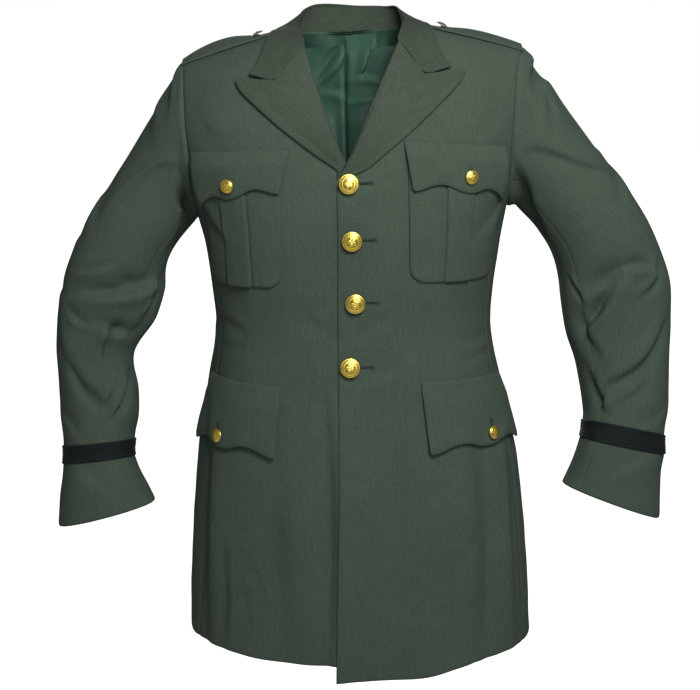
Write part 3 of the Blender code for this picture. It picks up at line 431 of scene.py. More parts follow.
def cloth_wall(name, outer, outward, thickness, material, closed=False):
    """A wall of cloth: the outer face given as a grid, the inner face a thickness behind it, and a rounded
    rim row between them, pushed out past the edge by a third of the thickness."""
    rows, columns = outer.shape[:2]
    inner = outer - outward * thickness
    middle = (outer + inner) / 2
    for edge, beside in ((np.s_[0, :], np.s_[1, :]), (np.s_[-1, :], np.s_[-2, :]),
                         (np.s_[:, 0], np.s_[:, 1]), (np.s_[:, -1], np.s_[:, -2])):
        if closed and edge[0] == slice(None):
            continue
        out = outer[edge] - outer[beside]
        out /= np.maximum(np.linalg.norm(out, axis=-1, keepdims=True), 1e-9)
        middle[edge] += out * thickness * RIM_OUT
    steps_across = np.linalg.norm(np.diff(outer, axis=1), axis=-1).mean(axis=0)
    steps_along = np.linalg.norm(np.diff(outer, axis=0), axis=-1).mean(axis=1)
    u, v = np.meshgrid(np.concatenate([[0], np.cumsum(steps_across)]),
                       np.concatenate([[0], np.cumsum(steps_along)]))
    uv = np.tile(np.stack([u, v], axis=-1).reshape(-1, 2), (3, 1))
    points = np.concatenate([outer.reshape(-1, 3), middle.reshape(-1, 3), inner.reshape(-1, 3)])
    index = np.arange(rows * columns).reshape(rows, columns)
    if closed:
        index = np.concatenate([index, index[:, :1]], axis=1)
    cells = cells_of(index)
    size = rows * columns
    edges = [index[0], index[-1][::-1]]
    if not closed:
        edges += [index[::-1, 0], index[:, -1]]
    faces = [cells, cells[:, ::-1] + 2 * size]
    for run in edges:
        for layer in (0, size):
            faces.append(np.stack([run[1:] + layer, run[:-1] + layer, run[:-1] + layer + size,
                                   run[1:] + layer + size], axis=-1))
    faces = np.concatenate(faces)
    first = points[cells[0]]
    if np.dot(np.cross(first[1] - first[0], first[3] - first[0]), outward.reshape(-1, 3)[cells[0][0]]) < 0:
        faces = faces[:, ::-1]
    return add_mesh(name, points, faces, uv, material)


def node(tree, kind, name, **values):
    """A shader node with its named inputs set, or linked where the value is another node's output."""
    made = tree.nodes.new(kind)
    made.label = name
    for key, value in values.items():
        key = key.replace("_", " ")
        if isinstance(value, bpy.types.NodeSocket):
            tree.links.new(value, made.inputs[key])
        elif key in made.inputs:
            made.inputs[key].default_value = value
        else:
            setattr(made, key.replace(" ", "_"), value)
    return made


def math_node(tree, operation, first, second=0.0):
    """One sum on numbers or sockets."""
    made = tree.nodes.new("ShaderNodeMath")
    made.operation = operation
    for socket, value in zip(made.inputs, (first, second)):
        if isinstance(value, bpy.types.NodeSocket):
            tree.links.new(value, socket)
        else:
            socket.default_value = value
    return made.outputs[0]


GRAIN_SHARE = 2.2
SLUB_SHARE = 0.45
BROAD_SHARE = 0.35
DARK_SHARE = -0.95
TWILL_SLOPE = 1.9
RIB_SHARE = 0.35


def shaded(name):
    """A new material with its node tree and its Principled shader."""
    material = bpy.data.materials.new(name)
    material.use_nodes = True
    return material, material.node_tree, material.node_tree.nodes["Principled BSDF"]


def woven_group():
    """Woven heathered cloth: a dark and a light yarn mixed by grain, slub and patches, under a twill."""
    group = bpy.data.node_groups.new("woven cloth", "ShaderNodeTree")
    for name, kind, way in (("Place", "Vector", "INPUT"), ("Dark yarn", "Color", "INPUT"),
                            ("Light yarn", "Color", "INPUT"), ("Pitch", "Float", "INPUT"),
                            ("Colour", "Color", "OUTPUT"), ("Normal", "Vector", "OUTPUT")):
        group.interface.new_socket(name, in_out=way, socket_type=f"NodeSocket{kind}")
    entry = group.nodes.new("NodeGroupInput")
    exit_node = group.nodes.new("NodeGroupOutput")
    place = entry.outputs["Place"]
    grain = node(group, "ShaderNodeTexNoise", "grain", Vector=place, Scale=760.0, Detail=3.0,
                 Roughness=0.62)
    stretched = node(group, "ShaderNodeMapping", "slub run", Vector=place, Scale=(260.0, 55.0, 1.0))
    slub = node(group, "ShaderNodeTexNoise", "slub", Vector=stretched.outputs[0], Scale=1.0, Detail=2.0)
    broad = node(group, "ShaderNodeTexNoise", "broad tone", Vector=place, Scale=11.0, Detail=3.0)
    mixed = math_node(group, "MULTIPLY_ADD", grain.outputs[0], GRAIN_SHARE)
    group.nodes[-1].inputs[2].default_value = DARK_SHARE
    for texture, share in ((slub, SLUB_SHARE), (broad, BROAD_SHARE)):
        mixed = math_node(group, "ADD", mixed, math_node(group, "MULTIPLY", texture.outputs[0], share))
    blend = node(group, "ShaderNodeMix", "yarns", data_type="RGBA")
    group.links.new(mixed, blend.inputs["Factor"])
    group.links.new(entry.outputs["Dark yarn"], blend.inputs[6])
    group.links.new(entry.outputs["Light yarn"], blend.inputs[7])
    split = node(group, "ShaderNodeSeparateXYZ", "across and along", Vector=place)
    steep = math_node(group, "MULTIPLY", split.outputs[1], TWILL_SLOPE)
    diagonal = math_node(group, "ADD", split.outputs[0], steep)
    rib = math_node(group, "SINE", math_node(group, "DIVIDE", diagonal, entry.outputs["Pitch"]))
    height = math_node(group, "ADD", math_node(group, "MULTIPLY", rib, RIB_SHARE), grain.outputs[0])
    bump = node(group, "ShaderNodeBump", "weave relief", Strength=0.55, Distance=0.00035, Height=height)
    group.links.new(blend.outputs[2], exit_node.inputs["Colour"])
    group.links.new(bump.outputs[0], exit_node.inputs["Normal"])
    return group


def cloth_material(name, dark, light, pitch, roughness, specular):
    """Cloth of two yarns on a Principled shader: matt wool, or a smoother lining."""
    material, tree, shader = shaded(name)
    place = node(tree, "ShaderNodeUVMap", "place on the cloth", uv_map="cloth")
    woven = tree.nodes.new("ShaderNodeGroup")
    woven.node_tree = WOVEN
    tree.links.new(place.outputs[0], woven.inputs["Place"])
    woven.inputs["Dark yarn"].default_value = (*dark, 1)
    woven.inputs["Light yarn"].default_value = (*light, 1)
    woven.inputs["Pitch"].default_value = pitch
    tree.links.new(woven.outputs["Colour"], shader.inputs["Base Color"])
    tree.links.new(woven.outputs["Normal"], shader.inputs["Normal"])
    shader.inputs["Roughness"].default_value = roughness
    shader.inputs["Specular IOR Level"].default_value = specular
    return material


WOVEN = woven_group()
wool = cloth_material("wool serge", WOOL_DARK, WOOL_LIGHT, TWILL, MATT, 0.12)


def dip(distance, depth=SEAM_DIP, width=SEAM_DIP_WIDTH):
    """How far cloth sinks into a seam or turns under at an edge, by distance from it."""
    return -depth * np.exp(-((distance / width) ** 2))


def inner_edge(side, level):
    """The angle of a front's inner edge: the front edge, just inside the roll, then up to the shoulder."""
    roll = column(ROLL, WORDS[side], level) * side
    gorge = column(ROLL, WORDS[side], GORGE_TOP) * side
    above = gorge + (NECK_HALF - 0.008 - gorge) * np.clip((level - GORGE_TOP) / -GORGE_TOP, 0, 1)
    below = column(STAND, "front_edge", level) * side if side == LEFT else -UNDERLAP + 0 * level
    x = np.where(level > GORGE_TOP, above, np.where(level > ROLL[0].level, roll, below))
    x = x + ROLL_TURN * ease((level - ROLL[1].level) / 0.03)
    return theta_at_x(x * side, level)


def front_face(side, theta, level):
    """The outer face of a front, with its folds, and the form's outward directions."""
    points, outward = skin(theta, level)
    reach = reach_of(theta, level)
    calm = ease(-level / 0.05)
    lift = (folds(BODY_FOLDS, reach, level) + waver(reach, level, WAVER)) * calm
    if side == LEFT:
        lift = lift + overlap_lift(points[..., 0])
    return points + outward * lift[..., None], outward


def body_levels(side, back, lower_rows, upper_rows):
    """For each row of a body panel: the share up the skirt, or the armhole's angle and level above it."""
    lower = spaced(lower_rows, 0.0022, (True, False))[:-1]
    steps = SEAM_STEP * (1 - spaced(upper_rows, 0.008, (False, True)))
    theta, level = armhole(side, steps)
    return lower, side * (math.pi - theta if back else theta), level


def levels_from_hem(side, theta, row_level, lower):
    """A front's or back's levels: the rows below the armhole start on the hem, column by column."""
    level = np.broadcast_to(row_level[:, None], theta.shape).copy()
    bottom = hem(side, theta[: len(lower)])
    level[: len(lower)] = bottom + (ARM_OPENING_FOOT - bottom) * lower[:, None]
    return level


DART_COLUMN = 0.66
DART_CROWD = 0.018
DART_TOP = -0.24
DART_FOOT = -0.43


def front_grid(side):
    """A front's angles and levels: columns from the front edge to the seam, one of them on the dart."""
    lower, arm_theta, arm_level = body_levels(side, False, *FRONT_ROWS)
    base = spaced(FRONT_COLUMNS, 0.0045)
    crowd = DART_CROWD * np.sin(2 * math.pi * np.clip((base - DART_COLUMN + 0.10) / 0.20, 0, 1))
    base = np.sort(base - crowd)
    seam = side * SIDE_SEAM
    foot = hem(side, seam)
    rough = foot + (ARM_OPENING_FOOT - foot) * lower
    edge_theta = np.concatenate([inner_edge(side, rough), inner_edge(side, arm_level)])
    seam_theta = np.concatenate([np.full(len(lower), seam), arm_theta])
    row_level = np.concatenate([rough, arm_level])
    dart_theta = side * theta_at_reach(column(DARTS, WORDS[side], row_level), row_level)
    at_dart = np.clip((dart_theta - edge_theta) / (seam_theta - edge_theta), 0.5, 0.8)
    at_dart = (at_dart + (DART_COLUMN - at_dart) * ease((row_level + 0.19) / 0.08))[:, None]
    on_inside = base[None, :] / DART_COLUMN * at_dart
    outside = (base[None, :] - DART_COLUMN) / (1 - DART_COLUMN) * (1 - at_dart) + at_dart
    shares = np.where(base[None, :] < DART_COLUMN, on_inside, outside)
    theta = edge_theta[:, None] + (seam_theta - edge_theta)[:, None] * shares
    return theta, levels_from_hem(side, theta, row_level, lower)


for word, side in SIDES.items():
    theta, level = front_grid(side)
    points, outward = front_face(side, theta, level)
    reach = reach_of(theta, level)
    from_seam = np.abs(reach - reach[:, -1:])
    from_edge = np.abs(reach - reach[:, :1])
    from_dart = np.abs(reach) - column(DARTS, word, level)
    in_dart = ease((level - DART_FOOT) / 0.02) * ease((DART_TOP - level) / 0.02)
    lift = dip(from_seam) + dip(from_edge, *FRONT_TURN) + dip(level - level[:1], *HEM_TURN)
    lift += dip(from_dart, DART_DEPTH, DART_WIDTH) * in_dart * DART_SHOWN[side]
    lift += DART_PUFF * in_dart * np.exp(-((from_dart / DART_PUFF_WIDTH) ** 2))
    points = points + outward * lift[..., None]
    square = aligned(directions(lean(points)), outward)
    front = cloth_wall(f"{word}_front", lean(points), square, CLOTH, wool)
    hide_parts(f"front_{word}")

# ------------------------------------------------------------------------------------------- Backs
# Two backs in the same wool, joined by the centre-back seam and shaped at the waist. They are seamed to the
# side bodies and, over the shoulders, to the fronts.

BACK_ROWS = (112, 52)
BACK_COLUMNS = 66
NECK_DROP = 0.0045
NECK_BEHIND = 0.0575
NECK_WIDTH = 0.072


def back_neck(points, forward, drop, inside):
    """How the last row of a back or lining moves to dip to the neck seam behind the stand."""
    share = np.clip(np.abs(points[-1, :, 0]) / NECK_WIDTH, 0, 1)
    target = points[-1].copy()
    target[:, 1] = forward * np.sqrt(1 - share**2)
    target[:, 2] = -drop * (1 - share**2)
    return np.where((np.abs(points[-1, :, 0]) < inside)[:, None], target - points[-1], 0)


for word, side in SIDES.items():
    lower, arm_theta, arm_level = body_levels(side, True, *BACK_ROWS)
    seam = side * (math.pi - SIDE_SEAM)
    foot = hem(side, seam)
    row_level = np.concatenate([foot + (ARM_OPENING_FOOT - foot) * lower, arm_level])
    seam_theta = np.concatenate([np.full(len(lower), seam), arm_theta])
    theta = side * math.pi + (seam_theta - side * math.pi)[:, None] * spaced(BACK_COLUMNS, 0.006)
    level = levels_from_hem(side, theta, row_level, lower)
    points, outward = skin(theta, level)
    reach = side * between(REACH_AT, ANGLES, level, np.abs(theta))
    lift = (folds(BODY_FOLDS, reach, level) + waver(reach, level, WAVER)) * ease(-level / 0.05)
    lift += dip(reach - reach[:, -1:]) + dip(reach - reach[:, :1]) + dip(level - level[:1], *HEM_TURN)
    points = points + outward * lift[..., None]
    rows_from_top = np.arange(len(points))[::-1]
    fade = np.exp(-((rows_from_top / 3.0) ** 2))[:, None, None]
    points = points + back_neck(points, NECK_BEHIND, NECK_DROP, NECK_HALF - 0.012) * fade
    square = aligned(directions(lean(points)), outward)
    back = cloth_wall(f"{word}_back", lean(points), square, CLOTH, wool)
    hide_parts(f"back_{word}")

# ------------------------------------------------------------------------------------- Side bodies
# Two side bodies in the same wool, from the foot of the armhole to the hem. Each is seamed to the front and
# to the back.

SIDE_ROWS = 150
SIDE_COLUMNS = 42

for word, side in SIDES.items():
    steps = SEAM_STEP + (RING - 2 * SEAM_STEP) * spaced(SIDE_COLUMNS, 0.009)
    half = RING / 2
    front_theta, top = armhole(side, half - np.abs(steps - half))
    theta = side * np.where(steps <= half, front_theta, math.pi - front_theta)[None, :]
    share = spaced(SIDE_ROWS, 0.0022)[:, None]
    bottom = hem(side, theta)
    level = bottom + (top[None, :] - bottom) * share
    theta = np.broadcast_to(theta, level.shape)
    points, outward = skin(theta, level)
    reach = reach_of(theta, level)
    lift = folds(BODY_FOLDS, reach, level) + waver(reach, level, WAVER)
    lift += dip(reach - reach[:, -1:]) + dip(reach - reach[:, :1]) + dip(level - level[:1], *HEM_TURN)
    lift += dip(level - level[-1:])
    points = points + outward * lift[..., None]
    square = aligned(directions(lean(points)), outward)
    side_body = cloth_wall(f"{word}_side_body", lean(points), square, CLOTH, wool)
    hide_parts(f"side_{word}")

# ------------------------------------------------------------------------------------- Back lining
# Bottle-green satin inside the backs, with an ease pleat down its middle. It is sewn in along the neck
# seam, and its folds fan out below the collar where the cloth is slack.

LINING_CLOTH = 0.0010
LINING_GAP = 0.0045
LINING_PLEAT = 0.0075
LINING_PLEAT_HALF = 0.045
LINING_PLEAT_AT = -0.0036
LINING_FOOT = -0.715
LINING_START = math.radians(110)
LINING_NARROWED = math.radians(20)
LINING_NECK_Y = 0.0500
LINING_NECK_Z = 0.0026
LINING_SLOPE = 0.30
LINING_STRAIGHT = 16
LINING_ROWS = (52, 64)
LINING_COLUMNS = 131
PLEAT_TURN = 0.0022
PLEAT_HOLLOW = 0.0024
PLEAT_HOLLOW_WIDTH = 0.003
SLACK_LIMIT = 0.0020
SATIN_DARK = (0.0150, 0.0520, 0.0330)
SATIN_LIGHT = (0.0325, 0.0960, 0.0625)

# Slack folds of the lining, by distance across from the centre pleat and by level.
LINING_FOLDS = [
    Fold(-0.003, -0.012, -0.042, -0.062, 0.002, -0.006, 0.0060, 0.8),
    Fold(0.020, -0.016, 0.012, -0.050, 0.002, 0.004, 0.0030, 0.6),
    Fold(-0.024, -0.004, -0.014, -0.012, 0.001, 0.003, 0.0022, 0.7),
    Fold(0.034, -0.004, 0.026, -0.020, -0.001, 0.003, 0.0026, 0.7),
    Fold(0.006, -0.056, 0.036, -0.060, 0.003, 0.005, 0.0026, 0.7),
    Fold(-0.030, -0.074, -0.006, -0.082, 0.002, 0.005, 0.0022, 0.7),
    Fold(0.002, -0.086, 0.024, -0.080, 0.002, 0.004, 0.0024, 0.7),
    Fold(-0.030, -0.110, -0.012, -0.240, -0.004, 0.010, 0.0042, 0.7),
    Fold(0.026, -0.130, 0.034, -0.260, 0.005, 0.010, 0.0042, 0.7),
    Fold(-0.070, -0.180, -0.058, -0.330, 0.005, 0.011, 0.0044, 0.7),
    Fold(0.066, -0.190, 0.080, -0.340, -0.005, 0.011, 0.0040, 0.7),
    Fold(-0.120, -0.330, -0.030, -0.352, 0.005, 0.009, 0.0034, 0.7),
    Fold(0.024, -0.340, 0.124, -0.360, -0.005, 0.009, 0.0034, 0.7),
    Fold(-0.060, -0.450, -0.072, -0.690, 0.006, 0.016, 0.0050, 0.7),
    Fold(0.050, -0.450, 0.066, -0.690, -0.006, 0.015, 0.0050, 0.7),
]

satin = cloth_material("lining satin", SATIN_DARK, SATIN_LIGHT, 0.00009, 0.46, 0.35)
top_levels = CHEST_LEVEL * (1 - np.sin(np.linspace(0.30, 1.52, LINING_ROWS[1])))
level = np.concatenate([np.linspace(LINING_FOOT, top_levels[0], LINING_ROWS[0])[:-1], top_levels])[:, None]
across = np.linspace(-1, 1, LINING_COLUMNS)
across = across * (0.12 + 0.88 * np.abs(across) ** 1.2) + 0.009 * (1 - across**2)
theta = math.pi - (math.pi - LINING_START) * across[None, ::-1]
level, theta = np.broadcast_arrays(level, theta)
narrowed = ease((level + 0.26) / 0.10) * LINING_NARROWED
theta = math.pi + (theta - math.pi) * (1 - narrowed / (math.pi - LINING_START))
points, outward = skin(theta, level)
off_middle = points[..., 0]
slack = folds(LINING_FOLDS, off_middle, level) + waver(off_middle * 1.7, level * 1.4, 0.0009)
beside = off_middle - LINING_PLEAT_AT
flatter = np.exp(-((np.maximum(beside, 0) / LINING_PLEAT_HALF) ** 2))
pleat = LINING_PLEAT * ease(beside / PLEAT_TURN + 0.5) * flatter
pleat = pleat + dip(beside + PLEAT_HOLLOW_WIDTH, PLEAT_HOLLOW, PLEAT_HOLLOW_WIDTH)
inward = CLOTH + LINING_GAP + pleat - np.minimum(slack, SLACK_LIMIT)
points = points - outward * np.where(level < -0.004, inward, CLOTH + LINING_GAP)[..., None]
hanging = LINING_NECK_Y + LINING_SLOPE * np.maximum(-points[..., 2] - LINING_NECK_Z, 0)
past = points[..., 1] - hanging + pleat - slack
points[..., 1] -= (past + np.hypot(past, 0.003)) / 2
neck = points[-1] + back_neck(points, LINING_NECK_Y, LINING_NECK_Z, NECK_HALF - 0.016)
down = (np.arange(LINING_STRAIGHT) / LINING_STRAIGHT)[::-1, None, None]
points[-LINING_STRAIGHT:] = neck + (points[-LINING_STRAIGHT - 1] - neck) * down
square = aligned(directions(lean(points)), outward)
lining = cloth_wall("back_lining", lean(points), square, LINING_CLOTH, satin)
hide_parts("lining_back")

# ----------------------------------------------------------------------------------------- Sleeves
# Two-piece sleeves in the same wool, set into the armholes with a little fullness over the cap. Each is a
# tube of rings that bends at the elbow, where most of the folds are, and is seamed in front and behind.

# The outer and inner edge of each ring as seen from the front, how far forward it lies and half its depth.
Sleeve = namedtuple("Sleeve", "outer_x outer_z inner_x inner_z forward half_depth")
SLEEVES = {
    LEFT: [
        Sleeve(0.2894, -0.1422, 0.1941, -0.2076, 0.000, 0.0640),
        Sleeve(0.3178, -0.1742, 0.2224, -0.2413, 0.000, 0.0610),
        Sleeve(0.3530, -0.2280, 0.2425, -0.2763, 0.000, 0.0580),
        Sleeve(0.3789, -0.2918, 0.2499, -0.3199, -0.002, 0.0560),
        Sleeve(0.3814, -0.3486, 0.2569, -0.3597, -0.006, 0.0540),
        Sleeve(0.3808, -0.4004, 0.2705, -0.4029, -0.012, 0.0510),
        Sleeve(0.3800, -0.4487, 0.2780, -0.4450, -0.018, 0.0470),
        Sleeve(0.3752, -0.4847, 0.2776, -0.4648, -0.024, 0.0445),
        Sleeve(0.3752, -0.5061, 0.2745, -0.4850, -0.028, 0.0430),
        Sleeve(0.3716, -0.5361, 0.2613, -0.5223, -0.0325, 0.0400),
        Sleeve(0.3699, -0.5822, 0.2525, -0.5396, -0.038, 0.0370),
    ],
    RIGHT: [
        Sleeve(-0.2781, -0.1635, -0.1848, -0.2196, 0.000, 0.0640),
        Sleeve(-0.3193, -0.2232, -0.2231, -0.2739, 0.000, 0.0610),
        Sleeve(-0.3447, -0.2797, -0.2290, -0.3101, -0.002, 0.0590),
        Sleeve(-0.3562, -0.3281, -0.2398, -0.3440, -0.004, 0.0560),
        Sleeve(-0.3588, -0.3765, -0.2669, -0.3852, -0.008, 0.0530),
        Sleeve(-0.3570, -0.4250, -0.2629, -0.4250, -0.013, 0.0500),
        Sleeve(-0.3550, -0.4614, -0.2625, -0.4589, -0.017, 0.0470),
        Sleeve(-0.3522, -0.4972, -0.2668, -0.4889, -0.022, 0.0445),
        Sleeve(-0.3522, -0.5191, -0.2668, -0.5091, -0.026, 0.0430),
        Sleeve(-0.3563, -0.5514, -0.2533, -0.5388, -0.032, 0.0400),
        Sleeve(-0.3584, -0.5922, -0.2414, -0.5615, -0.037, 0.0370),
    ],
}
SLEEVE_SQUARENESS = 2.2
CAP_ROWS = 4
CAP_REACH = 0.036
CAP_TOP = 0.022
CAP_FALL = 1.2
CAP_RUN = 0.050
HIND_SEAM_STEP = 16
SLEEVE_ROWS = (36, 172)
SLEEVE_SEAM = 0.0001
SLEEVE_SEAM_DIP = 0.0003
ARM_PITCH = 0.045
CAP_PITCH = 0.022
GIRTH = 0.34
CUFF_BOW = 0.0045
CUFF_TURN = (0.0008, 0.0022)
ARMHOLE_TURN = (0.0012, 0.0030)
ARMHOLE_PUFF = 0.0005
TOP_SLEEVE_CUT = (0.240, 0.560, 0.115)
UNDER_SLEEVE_CUT = (0.120, 0.450, 0.052)

# Folds of each sleeve, by the angle round it from the outside and the row along it.
Crease = namedtuple("Crease", "from_turn from_row to_turn to_row bend width depth ridge")
SLEEVE_FOLDS = {
    RIGHT: [
        Crease(100, 1.9, 52, 4.4, 0.003, 0.0040, 0.0026, 0.9),
        Crease(116, 2.0, 170, 4.5, 0.005, 0.0150, 0.0120, 0.2),
        Crease(132, 2.6, 152, 4.6, -0.004, 0.0080, 0.0050, 0.5),
        Crease(50, 5.95, 88, 5.55, 0.003, 0.0040, 0.0024, 0.8),
        Crease(60, 6.46, 140, 5.66, 0.005, 0.0095, 0.0120, 0.4),
        Crease(92, 5.86, 122, 5.72, 0.003, 0.0120, 0.0050, 0.2),
        Crease(98, 7.22, 132, 7.40, 0.003, 0.0070, 0.0095, 0.5),
        Crease(52, 7.00, 84, 7.32, 0.002, 0.0050, 0.0026, 0.7),
        Crease(112, 7.20, 116, 8.30, 0.002, 0.0070, 0.0056, 0.4),
        Crease(36, 7.10, 82, 8.76, 0.004, 0.0120, -0.0032, 0.4),
        Crease(82, 8.70, 118, 9.75, -0.004, 0.0110, -0.0028, 0.4),
        Crease(60, 8.20, 96, 9.60, 0.004, 0.0100, 0.0040, 0.3),
        Crease(154, 8.75, 122, 9.95, -0.003, 0.0080, 0.0072, 0.6),
        Crease(120, 9.10, 106, 9.85, 0.002, 0.0052, 0.0046, 0.4),
        Crease(168, 5.40, 146, 7.20, 0.004, 0.0100, 0.0070, 0.5),
        Crease(158, 6.00, 140, 6.60, 0.002, 0.0050, -0.0036, 0.3),
        Crease(10, 0.50, 52, 1.10, 0.002, 0.0060, -0.0026, 0.6),
        Crease(4, 1.60, 48, 2.10, 0.002, 0.0070, -0.0024, 0.6),
        Crease(20, 4.40, 46, 4.90, 0.003, 0.0090, 0.0024, 0.6),
        Crease(348, 4.32, 22, 4.46, 0.001, 0.0065, 0.0009, 0.7),
        Crease(350, 5.18, 26, 5.34, 0.002, 0.0065, 0.0010, 0.7),
        Crease(347, 6.36, 30, 6.60, 0.002, 0.0070, 0.0011, 0.7),
        Crease(34, 9.80, 70, 10.6, -0.002, 0.0110, 0.0022, 0.5),
        Crease(70, 11.9, 118, 13.2, 0.003, 0.0130, 0.0018, 0.5),
        Crease(330, 5.60, 270, 6.20, 0.006, 0.0100, 0.0050, 0.7),
        Crease(336, 7.10, 262, 7.00, -0.005, 0.0100, 0.0046, 0.7),
        Crease(320, 2.00, 268, 4.20, 0.006, 0.0120, 0.0040, 0.6),
        Crease(250, 4.60, 230, 7.40, 0.005, 0.0110, 0.0040, 0.6),
        Crease(310, 8.40, 268, 9.70, -0.004, 0.0100, 0.0034, 0.6),
    ],
    LEFT: [
        Crease(104, 1.45, 26, 4.80, -0.004, 0.0042, 0.0040, 0.8),
        Crease(130, 0.40, 170, 5.20, 0.006, 0.0130, 0.0110, 0.2),
        Crease(126, 6.84, 84, 6.62, 0.003, -0.0095, 0.0070, 0.5),
        Crease(88, 6.56, 50, 6.72, 0.004, -0.0046, 0.0070, 0.8),
        Crease(40, 6.74, 68, 7.22, 0.003, -0.0050, 0.0044, 0.8),
        Crease(92, 6.50, 132, 7.80, 0.004, 0.0090, 0.0078, 0.4),
        Crease(148, 6.45, 131, 7.22, 0.001, 0.0034, 0.0030, 0.8),
        Crease(108, 7.10, 136, 7.90, 0.003, 0.0052, 0.0048, 0.6),
        Crease(140, 7.30, 128, 8.60, -0.003, 0.0090, 0.0044, 0.5),
        Crease(42, 8.10, 114, 9.45, 0.008, -0.0078, 0.0062, 0.8),
        Crease(66, 9.10, 98, 9.90, 0.004, -0.0078, 0.0028, 0.6),
        Crease(146, 9.20, 132, 10.3, 0.002, 0.0078, 0.0050, 0.6),
        Crease(124, 9.55, 142, 10.2, 0.002, 0.0052, 0.0040, 0.4),
        Crease(352, 0.72, 40, 0.80, 0.002, 0.0050, -0.0034, 0.9),
        Crease(356, 1.50, 56, 1.40, -0.003, 0.0060, 0.0040, 0.6),
        Crease(36, 1.70, 60, 2.20, 0.002, 0.0060, 0.0024, 0.6),
        Crease(70, 1.10, 88, 1.80, 0.002, 0.0070, 0.0020, 0.6),
        Crease(14, 4.60, 52, 5.30, 0.003, 0.0090, 0.0028, 0.6),
        Crease(348, 3.60, 18, 3.80, 0.001, 0.0065, 0.0008, 0.7),
        Crease(36, 10.0, 76, 10.7, 0.002, 0.0110, 0.0022, 0.5),
        Crease(64, 12.0, 116, 13.1, -0.003, 0.0130, 0.0018, 0.5),
        Crease(332, 6.10, 266, 6.50, 0.006, 0.0100, 0.0050, 0.7),
        Crease(328, 7.60, 258, 7.40, -0.005, 0.0100, 0.0044, 0.7),
        Crease(318, 2.20, 262, 4.60, 0.006, 0.0120, 0.0040, 0.6),
        Crease(246, 4.80, 226, 7.80, 0.005, 0.0110, 0.0040, 0.6),
        Crease(312, 9.00, 262, 9.90, -0.004, 0.0100, 0.0034, 0.6),
    ],
}


def along_sleeve(row):
    """Distance down a sleeve from the armhole, by row number."""
    return np.minimum(row, CAP_ROWS) * CAP_PITCH + np.maximum(row - CAP_ROWS, 0) * ARM_PITCH


def armhole_ring(side, steps):
    """Points round the armhole, just off the body's edge, and the body's outward directions there."""
    half = RING / 2

    def at(step):
        """A point of the armhole and its outward direction, by step."""
        step = step % RING
        theta, level = armhole(side, half - np.abs(step - half))
        return skin(side * np.where(step <= half, theta, math.pi - theta), level)

    points, outward = at(steps)
    along = at(steps + 0.25)[0] - at(steps - 0.25)[0]
    across = np.cross(along, outward)
    across /= np.linalg.norm(across, axis=-1, keepdims=True)
    middle = at(np.arange(RING))[0].mean(axis=0) + [side * 0.05, 0, 0]
    across = aligned(across, middle - points)
    return lean(points + across * SEAM), outward


def arm_ring(side, row, steps):
    """A ring of the arm: a soft superellipse between its outer and inner edge, square to the arm."""
    at = numbered(SLEEVES[side], row)[..., None, :]
    ahead = (numbered(SLEEVES[side], row + 0.02) - numbered(SLEEVES[side], row - 0.02))[..., None, :]
    outer = np.stack([at[..., 0], at[..., 4], at[..., 1]], axis=-1)
    inner = np.stack([at[..., 2], at[..., 4], at[..., 3]], axis=-1)
    run = np.stack([ahead[..., 0] + ahead[..., 2], 2 * ahead[..., 4], ahead[..., 1] + ahead[..., 3]],
                   axis=-1)
    half_width = (outer - inner) / 2
    depth = np.cross(run, half_width)
    depth *= -np.sign(depth[..., 1:2]) * at[..., 5:6] / np.linalg.norm(depth, axis=-1, keepdims=True)
    turn = (2 * math.pi * steps / RING)[:, None]
    power = 2 / SLEEVE_SQUARENESS
    wide = np.sign(np.cos(turn)) * np.abs(np.cos(turn)) ** power
    deep = np.sign(np.sin(turn)) * np.abs(np.sin(turn)) ** power
    run /= np.linalg.norm(run, axis=-1, keepdims=True)
    return (outer + inner) / 2 + half_width * wide + depth * deep, run


def sleeve_tube(side, steps):
    """A sleeve as rings by steps round it: a cap that rises off the armhole and turns down, and the arm."""
    cap_count, arm_count = SLEEVE_ROWS
    start, at_seam = armhole_ring(side, steps)
    first, run = arm_ring(side, np.array([0.0]), steps)
    first, run = first[0], run[0]
    turn = (2 * math.pi * steps / RING)[:, None]
    over = ease(np.cos(turn))
    rise = np.array([side * CAP_REACH, 0, 0]) * (1 - over) + np.array([side, 0, -CAP_FALL]) * CAP_TOP * over
    t = np.linspace(0, 1, cap_count + 1)[:-1][:, None, None]
    cap = (2 * t**3 - 3 * t**2 + 1) * start + (t**3 - 2 * t**2 + t) * rise + (3 * t**2 - 2 * t**3) * first
    cap = cap + (t**3 - t**2) * run * CAP_RUN * (1.2 + np.cos(turn))
    arm_rows = spaced(arm_count, 0.004, (False, True)) * (len(SLEEVES[side]) - 1)
    arm, along_arm = arm_ring(side, arm_rows, steps)
    bow = CUFF_BOW * ease((arm_rows - len(SLEEVES[side]) + 4) / 3)[:, None, None]
    arm = arm + along_arm * bow * np.sin(turn)
    rows = np.concatenate([t[:, 0, 0] * CAP_ROWS, CAP_ROWS + arm_rows])
    tube = np.concatenate([cap, arm])
    square = aligned(directions(tube), tube - tube.mean(axis=1, keepdims=True))
    return tube, square, rows, at_seam


